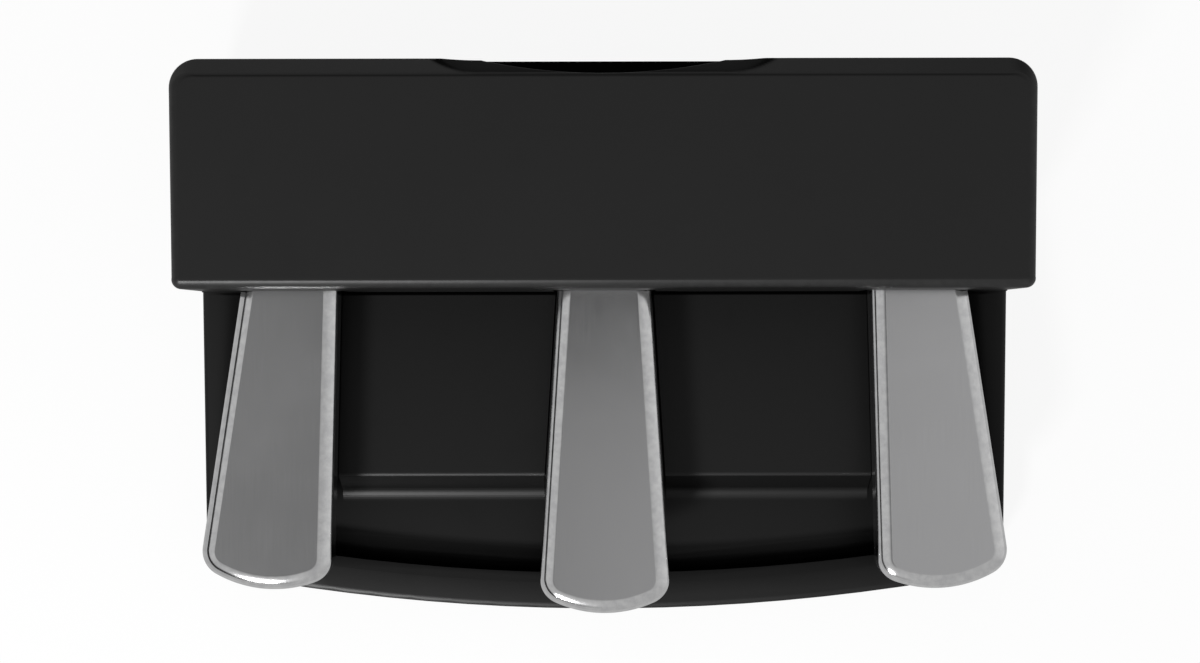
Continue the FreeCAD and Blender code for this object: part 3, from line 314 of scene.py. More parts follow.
def moulding(name, dark, light, worn, rough=0.42, grain=2200, bump=0.08, specular=0.25):
    """Moulded plastic: two close tones and a fine grain, paler rims, and painted shade that turns it
    black and dull where the shade mask is set.

    The rubbed patches and the rims are smoother.
    """
    material, tree, shader = blank(name)
    fine = use(tree, GRAIN, Scale=grain)
    rim = use(tree, WORN, Amount=0.8)["Mask"]
    shade = mask_of(tree, "hollow")
    tone = two_tone(tree, rim, two_tone(tree, fine["Tone"], dark, light), worn)
    # Painted shade: where the mask is set the colour goes to near black and the specular falls
    tone = two_tone(tree, shade, tone, (0.0004, 0.0004, 0.0004, 1))
    tree.links.new(tone, shader.inputs["Base Color"])
    tree.links.new(remap(tree, shade, 0.0, 1.0, specular, 0.02), shader.inputs["Specular IOR Level"])
    rubbed = remap(tree, fine["Rub"], 0.0, 1.0, rough, rough - 0.05)
    smoother = math_node(tree, "MULTIPLY", rim, -0.12)
    tree.links.new(math_node(tree, "ADD", rubbed, smoother), shader.inputs["Roughness"])
    relief(tree, shader, fine["Height"], bump, 0.0002)
    return material


def satin_metal(name, dark, light, rough, across=3200, along=60, bump=0.05, bright_rim=None):
    """Metal with drawn lines in tone, roughness and relief, smeared where it is touched.

    The rim is polished to 0.4 of the roughness less than the rest.
    """
    material, tree, shader = blank(name)
    drawn = use(tree, DRAWN, Across=across, Along=along)
    rim = use(tree, WORN, Amount=1.0)["Mask"]
    tone = two_tone(tree, rim, two_tone(tree, drawn["Lines"], dark, light), bright_rim or light)
    tree.links.new(tone, shader.inputs["Base Color"])
    smear = remap(tree, drawn["Smear"], 0.3, 0.7, rough - 0.03, rough + 0.05)
    fine = remap(tree, drawn["Lines"], 0.0, 1.0, -0.03, 0.03)
    total = math_node(tree, "ADD", smear, fine)
    polished = math_node(tree, "MULTIPLY_ADD", mask_of(tree, "rim"), -0.4 * rough, total)
    tree.links.new(polished, shader.inputs["Roughness"])
    relief(tree, shader, drawn["Lines"], bump, 0.0001)
    shader.inputs["Metallic"].default_value = 1.0
    return material


def pressed_felt(name, dark, light):
    """Felt: crossed fibres of two noises in tone and relief, very rough, with a soft sheen."""
    material, tree, shader = blank(name)
    place = object_place(tree)
    fibre = add(tree, "TexNoise", {"Vector": place, "Scale": 1500, "Detail": 6, "Distortion": 1.5})
    clump = add(tree, "TexNoise", {"Vector": place, "Scale": 260, "Detail": 3})
    both = math_node(tree, "MULTIPLY", fibre.outputs["Fac"], clump.outputs["Fac"])
    tone = two_tone(tree, remap(tree, both, 0.12, 0.4), dark, light)
    tree.links.new(tone, shader.inputs["Base Color"])
    relief(tree, shader, both, 0.6, 0.0004)
    shader.inputs["Roughness"].default_value = 0.95
    shader.inputs["Sheen Weight"].default_value = 0.3
    return material


COOL, WARM, GREEN = (1, 1, 1.01), (1, 0.99, 0.95), (0.15, 1.3, 0.4)
PEDAL_METAL = satin_metal("pedal_metal", colour(206, COOL), colour(218, COOL), 0.17,
                          bright_rim=colour(228))
PLATED_STEEL = satin_metal("plated_steel", colour(168, WARM), colour(196, WARM), 0.32,
                           across=900, along=700, bump=0.1)
HOUSING = moulding("housing_moulding", colour(27), colour(31), colour(52))
BASE = moulding("base_moulding", colour(18), colour(22), colour(44))
INNER = moulding("inner_moulding", colour(44), colour(56), colour(80), grain=1500)
RUBBER = moulding("rubber", colour(30), colour(40), colour(62), rough=0.8, grain=1100, bump=0.3)
FELT = pressed_felt("felt", (0.16, 0.012, 0.012, 1), (0.34, 0.035, 0.03, 1))
BOARD = moulding("circuit_board", colour(40, GREEN), colour(64, GREEN), colour(120, (0.9, 1, 0.6)),
                 rough=0.35, grain=700)
FINISH = {"pedal_metal": PEDAL_METAL, "plated_steel": PLATED_STEEL, "housing_moulding": HOUSING,
          "base_moulding": BASE, "inner_moulding": INNER, "rubber": RUBBER, "felt": FELT,
          "circuit_board": BOARD}

# The solids that stay take their finish from the record's slots
for row in frame["record"]["subparts"]:
    node = frame["nodes"][row["node"]]
    node.data.materials.clear()
    node.data.materials.append(FINISH[row["material_slot"]])


def settle(piece, body, node):
    """Ride on a body and stand for the solid that the piece replaces."""
    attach(piece, body)
    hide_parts(node)
    return piece


# Pedal blades

# Two ribs cross the hollow, and two lugs are headed over under the lever. Both stand at a distance
# forward of the pivot, a rib with its rear face and a lug with its middle
RIBS = ({"rear": 86, "half": 15.5}, {"rear": 106, "half": 16.8})
RIB_THICK, RIB_LOW, RIB_HIGH = 2, 32, 37.3
LUGS = (71, 53)
LUG_HEAD = {"half": 6.2, "reach": 2.7, "low": 30.5, "high": 32}


def blade_half(forward):
    """Half the width between a blade's straight flanks, at a distance forward of its pivot."""
    return BLADE["rear_half"] + BLADE["flare"] * (forward - BLADE["rear"])


def blade_plan():
    """Plan of a blade: straight flanks that widen forward, two corner arcs and a bowed nose.

    Gives points and outward normals, left flank first, then the nose, then the right flank. A
    corner arc touches its flank and the nose: its centre lies one corner radius inside both.
    """
    b = BLADE
    centre_nose = b["reach"] - b["nose"]
    meet = centre_nose + math.sqrt(b["nose"] ** 2 - b["front_half"] ** 2)
    along = np.array([b["front_half"] - b["rear_half"], meet - b["rear"]])
    along /= np.linalg.norm(along)
    out = np.array([along[1], -along[0]])
    start = np.array([b["rear_half"], b["rear"]]) - b["corner"] * out
    to_nose = start - np.array([0, centre_nose])
    inner = b["nose"] - b["corner"]
    step = -to_nose @ along + math.sqrt((to_nose @ along) ** 2 - to_nose @ to_nose + inner ** 2)
    corner = start + step * along
    first = math.atan2(out[1], out[0])
    last = math.atan2(corner[1] - centre_nose, corner[0])
    steps = 14
    flank = np.linspace(0, 1, steps)[:, None]
    begin, end = np.array([b["rear_half"], b["rear"]]), corner + b["corner"] * out
    points, normals = [begin + flank * (end - begin)], [np.repeat(out[None], steps, 0)]
    angle = np.linspace(first, last, 12)[1:, None]
    normals.append(np.concatenate([np.cos(angle), np.sin(angle)], 1))
    points.append(corner + b["corner"] * normals[-1])
    angle = np.linspace(last, math.pi / 2, 18)[1:, None]
    normals.append(np.concatenate([np.cos(angle), np.sin(angle)], 1))
    points.append(np.array([0, centre_nose]) + b["nose"] * normals[-1])
    right, facing = np.concatenate(points), np.concatenate(normals)
    flip = np.array([-1, 1])
    whole = np.concatenate([right, (right * flip)[-2::-1]])
    normal = np.concatenate([facing, (facing * flip)[-2::-1]])
    # The rear is cut square, so the two rear points move along the cut and not along the normal
    normal[[0, -1]] = [[1 / out[0], 0], [-1 / out[0], 0]]
    return whole, normal


def blade_rows():
    """Inset, height and wear along the skin of a blade, from its flat top to the hollow.

    The rim is part of an ellipse: the inset falls with the sine and the height with the cosine of
    one angle, which starts at 23 degrees, so the flat top ends at a crease, and ends upright. Then
    come the flank, the rounded lower edge of the wall, and the hollow with its coved corner.
    """
    b = BLADE
    top, bottom, wall, roof = b["top"], b["bottom"], b["wall"], b["top"] - b["skin"]
    start = math.radians(b["rim_start"])
    wide = b["rim_across"] * (1 - math.sin(start))
    low = top - b["rim_down"] * math.cos(start)
    rows = [(wide + 0.6, top, 0.0), (wide + 0.15, top, 0.3)]
    for angle in np.linspace(start, math.pi / 2, 15):
        fall = b["rim_down"] * (math.cos(start) - math.cos(angle))
        rows.append((b["rim_across"] * (1 - math.sin(angle)), top - fall, 1.0))
    rows += [(0.0, low - 1.0, 0.1), (0.0, bottom + 1.0, 0.0)]
    rows += [(0.0, bottom + 0.4, 0.5), (0.12, bottom + 0.12, 0.6), (0.4, bottom, 0.5)]
    rows += [(wall - 0.4, bottom, 0.2), (wall - 0.1, bottom + 0.15, 0.0), (wall, bottom + 0.5, 0.0)]
    rows += [(wall, roof - 0.6, 0.0), (wall + 0.6, roof, 0.0)]
    return np.array(rows)


def blade(side):
    """Cast blade: rings of its plan drawn in by the rows' insets, both ends closed on the middle.

    The side walls run out towards the rear, where the lever comes in below the flat: the first and
    the last column stay up at the roof of the hollow.
    """
    plan, normal = blade_plan()
    rows = blade_rows()
    flat = plan[None] - rows[:, :1, None] * normal[None]
    shrink = np.array([0.0, 0.35, 0.7])[:, None]
    closing = len(shrink)

    def closed(ring, widths):
        return np.stack([ring[None, :, 0] * widths, np.repeat(ring[None, :, 1], closing, 0)], -1)

    rings = np.concatenate([closed(flat[0], shrink), flat, closed(flat[-1], shrink[::-1])])
    height = np.concatenate([np.full(closing, rows[0, 1]), rows[:, 1],
                             np.full(closing, rows[-1, 1])])
    rim = np.concatenate([np.zeros(closing), rows[:, 2], np.zeros(closing)])
    level = height[:, None] + 0 * rings[..., 0]
    level[:, [0, -1]] = np.maximum(level[:, [0, -1]], BLADE["top"] - BLADE["skin"])
    grid = np.stack([rings[..., 0], -rings[..., 1], level], -1)
    shells = [skin("shell", carry(grid, side), PEDAL_METAL, rim[:, None], sharp=11)]
    for rib in RIBS:
        low = (-rib["half"], -rib["rear"] - RIB_THICK, RIB_LOW)
        high = (rib["half"], -rib["rear"], RIB_HIGH)
        shells.append(soft_block("rib", low, high, 0.4, PEDAL_METAL, side))
    half, reach = LUG_HEAD["half"], LUG_HEAD["reach"]
    for forward in LUGS:
        low = (-half, -forward - reach, LUG_HEAD["low"])
        high = (half, -forward + reach, LUG_HEAD["high"])
        shells.append(soft_block("lug", low, high, 0.6, PEDAL_METAL, side))
    return join("blade_" + side, shells)


for side in SIDES:
    settle(blade(side), "pedal_" + side, "pedal_" + side)


# Housing

FRONT_HEIGHT, REAR_HEIGHT, CEILING, WALL = 68.0, 72.0, 65.5, 2.5
FRONT_CORNER, REAR_CORNER = 3.3, 9
DRAFT = math.tan(math.radians(0.7))
SLOT_TOP, SLOT_GAP = 41.2, 1.2
RECESS = {"half": 8.1, "low": 25.9, "high": 42.1, "sunk": 2.2}

# The scoop's line has a straight middle and round ends, and its slope eases in over a short way.
# The lens is cut by a circle whose centre lies behind the housing. Centres are places along Y
SCOOP = {"level": 71.9, "radius": 25.0, "straight": 35.8, "centre": 102.36, "ease": 0.6,
         "steep": 1.54, "fall": 7.0, "fine_half": 54, "shared_half": 53}
LENS = {"centre": 216.56, "radius": 138.7, "floor": 62.3, "ceiling_radius": 141.1, "fall": 9.6}

# The rows of the top and of the ceiling close on a line along the middle
MIDDLE_Y, MIDDLE_HALF = 49.8, 92
# Strength of painted shade: a line along the rear bevel, the front wall with its lower round, and
# the scoop's slope
SEAM_SHADE, WALL_SHADE, SLOPE_SHADE = 0.6, 0.6, 0.95


def housing_top(y):
    """The top falls 4 mm from the rear to the front."""
    return FRONT_HEIGHT + (REAR_HEIGHT - FRONT_HEIGHT) * (y - FRONT) / (REAR - FRONT)


def scoop_slope(x, y):
    """Fall of the finger scoop's slope: it grows with the distance inside a line with round ends."""
    s = SCOOP
    away = s["centre"] - np.minimum(y, s["centre"])
    reach = s["radius"] - np.hypot(np.maximum(np.abs(x) - s["straight"], 0.0), away)
    slope = np.clip(reach, 0, None)
    return np.minimum(slope * slope / (slope + s["ease"]) * s["steep"], s["fall"])


def ceiling_height(x, y):
    """Height that the finger scoop leaves the ceiling: one wall below its slope and its lens."""
    within = np.hypot(x, LENS["centre"] - y) < LENS["ceiling_radius"]
    lens = np.where(within, LENS["fall"], 0.0)
    return SCOOP["level"] - np.maximum(scoop_slope(x, y), lens) - WALL


def slot_spans():
    """Middle and half width of the three slots in the front wall, with room for the splay."""
    spans = []
    for x0, y0, turn in (PIVOT[side] for side in SIDES):
        angle = math.radians(turn)
        forward = (y0 - FRONT - WALL / 2) / math.cos(angle)
        half = blade_half(forward) + SLOT_GAP + WALL * math.sin(math.radians(PIVOT["right"][2]))
        spans.append((x0 + forward * math.sin(angle), half))
    return spans


def housing_plan():
    """Columns round the housing, each with its point, normal, corner radius and what it carries.

    That is the height at which its wall ends below, how far it belongs to the rear, from 0 to 1,
    and whether the gland's recess is in it.
    """
    columns = []

    def straight(start, end, steps, bottom=PARTING, rear=0, gland=0):
        start, end = np.array(start, float), np.array(end, float)
        way = (end - start) / np.linalg.norm(end - start)
        for share in np.linspace(0, 1, steps + 1):
            point = start + share * (end - start)
            columns.append((*point, way[1], -way[0], 1e6, bottom, rear, gland))

    def corner(x, y, radius, first, rear):
        for share in np.linspace(0, 1, 15)[1:-1]:
            angle = math.radians(first + 90 * share)
            nx, ny = math.cos(angle), math.sin(angle)
            blend = rear[0] + (rear[1] - rear[0]) * share * share * (3 - 2 * share)
            columns.append((x + radius * nx, y + radius * ny, nx, ny, radius, PARTING, blend, 0))

    side, turn = HALF - FRONT_CORNER, FRONT + FRONT_CORNER
    rear_side, rear_turn = HALF - REAR_CORNER, REAR - REAR_CORNER
    fine, recess = SCOOP["fine_half"], RECESS["half"]
    at = -side
    for middle, half in slot_spans():
        straight((at, FRONT), (middle - half, FRONT), 6)
        straight((middle - half, FRONT), (middle + half, FRONT), 4, bottom=SLOT_TOP)
        at = middle + half
    straight((at, FRONT), (side, FRONT), 6)
    corner(side, turn, FRONT_CORNER, -90, (0, 0))
    straight((HALF, turn), (HALF, rear_turn), 8)
    corner(rear_side, rear_turn, REAR_CORNER, 0, (0, 1))
    straight((rear_side, REAR), (fine, REAR), 10, rear=1)
    straight((fine, REAR), (recess, REAR), 56, rear=1)
    straight((recess, REAR), (-recess, REAR), 16, rear=1, gland=1)
    straight((-recess, REAR), (-fine, REAR), 56, rear=1)
    straight((-fine, REAR), (-rear_side, REAR), 10, rear=1)
    corner(-rear_side, rear_turn, REAR_CORNER, 90, (1, 0))
    straight((-HALF, rear_turn), (-HALF, turn), 8)
    corner(-side, turn, FRONT_CORNER, 180, (0, 0))
    return np.array(columns)


def top_edges():
    """Inset and fall of the housing's top edge: a round, and the flat bevel at the rear.

    The round has 3.56 mm radius and leaves the top at a slight crease of 18 degrees: the inset
    falls with the cosine and the height with the sine of an angle that goes from 72 degrees to 0.
    The bevel is a straight fall of 2.6 mm over 4.4 mm with a small arc at either end, each arc
    touching its two neighbours. The wear is greatest in the middle of the round.
    """
    round_radius, bevel_run, bevel_fall, small = 3.56, 4.4, 2.6, 0.8
    turn = np.radians(np.linspace(72, 0, 21))
    rounded = round_radius * np.column_stack([1 - np.cos(turn), np.sin(turn[0]) - np.sin(turn)])
    slope = math.atan2(bevel_fall, bevel_run)
    upper = np.linspace(0, slope, 7)
    tangent = small * math.tan(slope / 2)
    first = np.column_stack([bevel_run + tangent - small * np.sin(upper),
                             small * (1 - np.cos(upper))])
    lower = np.linspace(slope, np.pi / 2, 9)
    touch = small * math.tan((np.pi / 2 - slope) / 2)
    last = np.column_stack([small * (1 - np.sin(lower)),
                            bevel_fall + touch - small * np.cos(lower)])
    share = np.linspace(0, 1, 7)[1:-1, None]
    between = first[-1] + share * (last[0] - first[-1])
    return rounded, np.concatenate([first, between, last]), np.sin(2 * turn) ** 2


def scoop_inset(count, lens, start):
    """Distance from the rear at which one of the edge's 21 rows lies behind the scoop.

    Eleven rows run from the edge's start to just outside the rim of the lens, two follow that rim
    and the rest share out the floor of the lens.
    """
    if count < 11:
        return start + (lens + 0.3 - start) * count / 10
    if count < 13:
        return lens + 0.1 * (12 - count)
    return np.maximum(lens - 0.15, 0) * (20 - count) / 7


def housing():
    """Thin shell in one closed surface, from the middle of the top round the wall to the ceiling.

    A row is a distance inside the plan and a height. The sides and the rear lean in by the draft,
    the top edge blends from a round into the rear bevel, and everything above the finger scoop is
    lowered onto it. A column over a slot starts higher up, which opens the wall there. Behind the
    scoop the edge's rows are shared out anew, so that two of them follow the rim of the lens, whose
    distance from the rear is what a circle's chord leaves.
    """
    plan = housing_plan()
    base, normal = plan[:, :2], plan[:, 2:4]
    radius, bottom, rear, gland = plan[:, 4], plan[:, 5], plan[:, 6], plan[:, 7]
    facing_front = normal[:, 1] < -0.9
    draft = DRAFT * (1 - np.clip(-normal[:, 1], 0, 1))
    middle = np.column_stack([np.clip(base[:, 0], -MIDDLE_HALF, MIDDLE_HALF),
                              np.full(len(base), MIDDLE_Y)])
    rows, rims, shades = [], [], []

    def inside(inset):
        return base - np.minimum(inset, radius - 0.05)[:, None] * normal

    def row(points, height, rim=0.0, shade=0.0):
        rows.append(np.column_stack([points, height]))
        rims.append(np.broadcast_to(rim, len(points)))
        shades.append(np.broadcast_to(shade, len(points)))

    # The top, from its middle line out to the edge, with a fine line of painted shade along the rear
    # bevel
    rounded, bevel, wear = top_edges()
    upper = (housing_top(base[:, 1]) - PARTING) * draft
    edge = inside(upper + rounded[0, 0] * (1 - rear) + bevel[0, 0] * rear)
    for share in (1.0, 0.8, 0.6, 0.4, 0.25, 0.16, 0.12, 0.09, 0.06, 0.04, 0.02):
        points = edge + share * (middle - edge)
        level = np.minimum(housing_top(points[:, 1]), SCOOP["level"] - scoop_slope(*points.T))
        row(points, level, 0.0, SEAM_SHADE * rear * (share == 0.02))

    # The edge: a round in front and at the sides, a bevel at the rear, the scoop and its lens. The
    # scoop's slope and the lower front round carry painted shade, and the lens is painted black.
    behind = (rear == 1) & (np.abs(base[:, 0]) < SCOOP["shared_half"])
    across = np.clip(base[:, 0], -60, 60)
    chord = np.sqrt(LENS["radius"] ** 2 - across ** 2)
    lens = np.maximum(REAR - upper - LENS["centre"] + chord, 0)
    deep = behind & (lens > 0.15)
    for count, (soft, flat, worn) in enumerate(zip(rounded, bevel, wear)):
        inset, fall = (soft[:, None] * (1 - rear) + flat[:, None] * rear)
        anew = scoop_inset(count, lens, bevel[0, 0])
        inset = np.where(behind, anew, inset)
        fall = np.where(behind, np.interp(anew, bevel[::-1, 0], bevel[::-1, 1]), fall)
        points = inside(upper + inset)
        slope = scoop_slope(*points.T)
        height = np.minimum(housing_top(points[:, 1]) - fall, SCOOP["level"] - slope)
        height = np.where(deep & (count > 12), LENS["floor"], height - 0.3 * (deep & (count == 12)))
        # Painted shade: the scoop's slope darkens with its fall, the lens is painted black, and the
        # front round darkens downward
        scooped = SLOPE_SHADE * np.clip(slope / 0.8, 0, 1) * behind
        shade = np.where(deep & (count > 12), 1.0, scooped)
        shade = np.maximum(shade, WALL_SHADE * np.clip((count - 7) / 10, 0, 1) * facing_front)
        row(points, height, 0.3 * worn * (1 - rear), shade)

    # The wall down to the parting line or a slot, with the recess of the gland. The front wall
    # carries painted shade.
    high = height
    row(points, high - 0.25, 0.0, WALL_SHADE * facing_front)
    recess_low, recess_high = RECESS["low"], RECESS["high"]
    for level, sunk in ((60.0, 0), (50.0, 0), (recess_high, 0), (recess_high, 1), (recess_low, 1),
                        (recess_low, 0), (24.0, 0)):
        height = np.maximum(np.minimum(high, level), bottom + 0.3)
        height = np.where(level > 50, np.minimum(high - 0.5, level), height)
        points = inside((height - PARTING) * draft + RECESS["sunk"] * sunk * gland)
        row(points, np.minimum(height, high), 0.0, WALL_SHADE * facing_front)

    # The lower edge, the inside of the wall and the ceiling back to the middle line
    foot = (bottom - PARTING) * draft
    inner = inside(np.full(len(base), WALL))
    row(inside(foot), bottom + 0.3, 0.3)
    row(inside(foot + 0.3), bottom, 0.3)
    row(inner, bottom)
    row(inner, np.minimum(np.maximum(bottom + 20, 45), ceiling_height(*inner.T)))
    for share in (0.0, 0.02, 0.05, 0.09, 0.14, 0.2, 0.4, 0.7, 1.0):
        points = inner + share * (middle - inner)
        row(points, np.minimum(CEILING, ceiling_height(*points.T)))
    return even(skin("housing", np.array(rows), HOUSING, np.array(rims), np.array(shades), sharp=32))


settle(housing(), "frame", "upper_housing")


# Base: the solid's own surface, doubled points merged, flat faces joined and arcs shaded smoothly

FLOOR, BLOCK_TOP, LIP_TOP = 9.0, 20.0, 15.4
BLOCK_Y, SLOPE_FOOT, BLOCK_INNER, BLOCK_OUTER = -39.8, -47, 19.5, 84
WELL_REAR, WELL_GAP = 22.1, 0.5

# Radii about the bow's centre: the front edge, the crease between the lip's bevel and its flat, the
# flat's inner edge, and the foot of the cove behind it
BOW = 653.0
BOW_CENTRE = BOW - REAR
LIP_CREASE = BOW - 7.3
LIP_INNER = LIP_CREASE - 2.7
COVE_FOOT = LIP_INNER - 6.0
LIP_HALF, LIP_FADE = 108, 12

# What the drawn shape adds to the solid
SLOPE_DRAWN = 1.38
LIP_RAISED, LIP_ROUNDED, FLAT_WIDER, CREASE_MOVED = 1.5, 0.8, 1.5, 0.9
BESIDE_CENTRE, TOWARDS_OUTER = 1.0, 1.6
# Planes and extent of the black painted shade in the gap below the housing
GAP_PLANES = (15.4, 15.8)
GAP_REAR, GAP_HALF = 80, 116
NEAR = 0.1


def base_wells(x, y, z):
    """Masks of the points on the sides of the centre well and on the inner sides of the outer two.

    A point is on an outer well where it lies one gap outside the blade's flank.
    """
    x0, y0, turn = PIVOT["right"]
    angle = math.radians(turn)
    off = (abs(x) - x0) * math.cos(angle) + (y - y0) * math.sin(angle)
    forward = (abs(x) - x0) * math.sin(angle) - (y - y0) * math.cos(angle)
    sunk = (z > FLOOR - NEAR) & (y < WELL_REAR + NEAR)
    centre = sunk & (abs(abs(x) - BLOCK_INNER) < NEAR)
    return centre, sunk & (abs(off + blade_half(forward) + WELL_GAP) < NEAR)


def base_drawn(x, y, z):
    """Points of the base drawn into the shape that is seen, and the painted shade of its hollows.

    The slope in front of each block runs out further: its points and those of its cove are drawn
    away from the block's edge in proportion. The lip lies on arcs about one centre: its outer edge
    is raised a little and rounded more, its flat is widened inward over the cove, and all of it
    fades out at its ends. The sides of the wells are moved up to the blades. Painted shade darkens
    the hollows, by their distance from the lip's centre and by height.
    """
    reach, front = np.hypot(x, BOW_CENTRE - y), y < -50
    above = z > FLOOR - NEAR
    slope = above & (y < BLOCK_Y) & (y > SLOPE_FOOT)
    slope &= (abs(x) > BLOCK_INNER - NEAR) & (abs(x) < BLOCK_OUTER)
    outer = front & (reach > BOW - 1.5) & (z > FLOOR + 2) & (z < LIP_TOP - NEAR)
    flat = front & (z > LIP_TOP - 2 * NEAR)
    inner = flat & (abs(reach - LIP_INNER) < 2 * NEAR)
    crease = flat & (abs(reach - LIP_CREASE) < 2 * NEAR)
    fade = np.clip((LIP_HALF - abs(x)) / LIP_FADE, 0, 1)

    cove = front & above & (z < LIP_TOP - 3 * NEAR)
    cove &= (reach > COVE_FOOT - NEAR) & (reach < LIP_INNER + NEAR)
    floor = above & (z < FLOOR + NEAR) & (y < BLOCK_Y) & (abs(x) < HALF - 12)
    # Painted shade: the cove behind the lip, the lip's flat and crease, the trough floor and the
    # blocks' slopes
    shade = np.maximum.reduce([
        cove * np.clip((reach - COVE_FOOT) / 2, 0, 1), 0.6 * inner, 0.35 * crease,
        0.15 * (floor & (reach < COVE_FOOT - 0.5)),
        0.35 * (slope & (z > FLOOR + 2) & (z < BLOCK_TOP - 0.5))])

    centre_well, outer_well = base_wells(x, y, z)
    y = np.where(slope, BLOCK_Y + SLOPE_DRAWN * (y - BLOCK_Y), y)
    y = y + fade * (LIP_ROUNDED * outer * (BOW - reach) + FLAT_WIDER * inner + CREASE_MOVED * crease)
    z = z + LIP_RAISED * outer * fade
    beside_blade = blade_half(PIVOT["centre"][1] - y) + BESIDE_CENTRE
    x = np.where(centre_well, np.sign(x) * beside_blade, x)
    x = np.where(outer_well, x + TOWARDS_OUTER * np.sign(x), x)
    return x, y, z, shade


def base():
    """Copy of the base with its points drawn and painted shade in its hollows.

    The gap below the housing is cut off by two planes, so that its painted shade darkens within half
    a millimetre.
    """
    mesh = frame["nodes"]["base_tray"].data.copy()
    mesh.name = "base"
    points = np.empty(len(mesh.vertices) * 3, np.float32)
    mesh.vertices.foreach_get("co", points)
    x, y, z, shade = base_drawn(*(points.reshape(-1, 3).T / MM))
    mask = mesh.attributes.new("hollow", "FLOAT", "POINT")
    mask.data.foreach_set("value", shade.astype(np.float32))
    drawn = np.column_stack([x, y, z]) * MM
    mesh.vertices.foreach_set("co", drawn.astype(np.float32).ravel())
    shell = bmesh.new()
    shell.from_mesh(mesh)
    bmesh.ops.remove_doubles(shell, verts=shell.verts, dist=2e-6)
    bmesh.ops.dissolve_limit(shell, angle_limit=math.radians(0.6), verts=shell.verts,
                             edges=shell.edges)
    for place in GAP_PLANES:
        bmesh.ops.bisect_plane(shell, geom=shell.verts[:] + shell.edges[:] + shell.faces[:],
                               plane_co=(0, place * MM, 0), plane_no=(0, 1, 0))
    dark = shell.verts.layers.float["hollow"]
    # Painted shade: the gap below the housing's front is painted black
    for point in shell.verts:
        x, y, z = point.co / MM
        if GAP_PLANES[1] - NEAR < y < GAP_REAR and z > FLOOR - 0.5 and abs(x) < GAP_HALF:
            point[dark] = 1.0
    shell.to_mesh(mesh)
    shell.free()
    return even(seal("base", mesh, BASE, 24))


settle(base(), "frame", "base_tray")


# Small pieces

# Half width, place along the bore and squareness of the gland's rings, round its section
GLAND_HEIGHT = 34.0
GLAND_RINGS = ((2.75, 76.3, 0), (6.4, 76.3, 0.9), (6.8, 76.7, 1), (6.8, 77.9, 1), (6, 77.9, 1),
               (6, 80.8, 1), (8, 80.8, 1), (8, 82.2, 1), (7.6, 82.5, 1), (5.2, 82.5, 0),
               (4.4, 82.1, 0), (3.4, 82.1, 0), (2.95, 82.4, 0), (2.75, 82.2, 0))

# Radius, height, share of the six-sided form and wear of a screw's rings, socket to tip
SCREW_RINGS = ((0.01, 1.9, 1, 0), (1.2, 1.9, 1, 0), (1.25, 1.1, 1, 0.4), (1.35, 0.98, 1, 1),
               (2.4, 0.92, 0, 0.2), (3.2, 1.1, 0, 0.3), (3.65, 1.5, 0, 0.8), (3.8, 1.9, 0, 0.4),
               (3.8, 2.5, 0, 0), (2.0, 2.5, 0, 0), (2.0, 34.9, 0, 0), (1.6, 35.4, 0, 0),
               (0.01, 35.4, 0, 0))

SPRING = {"place": -28.0, "radius": 5, "wire": 0.75, "turns": 5.0, "low": 13.85, "high": 31.15,
          "seat_rise": 1.6}
FELT_LOW, FELT_HIGH = (-8, -33, 37.1), (8, -25, 40.0)
PAD_HALF, PAD_FRONT, PAD_REAR = 4, -43.5, -35.5


def gland():
    """Square rubber gland with a round mouth: rings between a square and the bore.

    The square is the circle pushed out to where its larger coordinate is one, and each row blends
    between that square and a circle.
    """
    columns = 64
    angle = np.linspace(0, 2 * np.pi, columns, endpoint=False) + np.pi / columns
    round_ring = np.stack([np.cos(angle), np.sin(angle)], -1)
    square_ring = round_ring / np.max(np.abs(round_ring), axis=1, keepdims=True)
    rows = []
    for half, y, square in GLAND_RINGS:
        ring = half * (square * square_ring + (1 - square) * round_ring)
        rows.append(np.column_stack([ring[:, 0], np.full(columns, y), ring[:, 1] + GLAND_HEIGHT]))
    return skin("gland", np.array(rows), RUBBER, ends="ring")


settle(gland(), "frame", "cable_gland")


def screw(name):
    """Button head with a six-sided socket: the rim's arc falls to the edge, the socket is cut in.

    A six-sided ring is a circle pushed out by one over the cosine of the angle from each side's
    middle.
    """
    low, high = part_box(name)
    x, y = (low[0] + high[0]) / 2 / MM, (low[1] + high[1]) / 2 / MM
    columns = 72
    angle = np.linspace(0, 2 * np.pi, columns, endpoint=False)
    hexagon = 1 / np.cos((angle + np.pi / 6) % (np.pi / 3) - np.pi / 6)
    rows = []
    for radius, z, six, _ in SCREW_RINGS:
        ring = radius * (six * hexagon + (1 - six))
        rows.append(np.column_stack([x + ring * np.cos(angle), y + ring * np.sin(angle),
                                     np.full(columns, z)]))
    wear = np.array(SCREW_RINGS)[:, 3:]
    return skin(name + "_turned", np.array(rows), PLATED_STEEL, wear)


def spring(side):
    """Wound wire: a helix whose first and last turns lie almost flat on the seats."""
    s = SPRING
    share = np.linspace(0, 1, 241)
    angle = 2 * np.pi * s["turns"] * share
    length = s["high"] - s["low"]
    ease = np.clip((share - 0.1) / 0.8, 0, 1)
    rise = s["seat_rise"] * (share - ease) + (length - s["seat_rise"] * 0.2) * ease
    height = s["low"] + np.clip(rise, 0, length)
    path = np.column_stack([s["radius"] * np.cos(angle), s["radius"] * np.sin(angle), height])
    grid = tube(path, s["wire"]) + np.array([0, s["place"], 0])
    return skin("coil_" + side, carry(grid, side), PLATED_STEEL)


for name in ("front_left", "front_right", "rear_left", "rear_right"):
    settle(screw("screw_" + name), "frame", "screw_" + name)
    low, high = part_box("foot_" + name)
    foot = soft_block("sole_" + name, np.array(low) / MM, np.array(high) / MM, 0.9, RUBBER, rim=0.5)
    settle(foot, "frame", "foot_" + name)

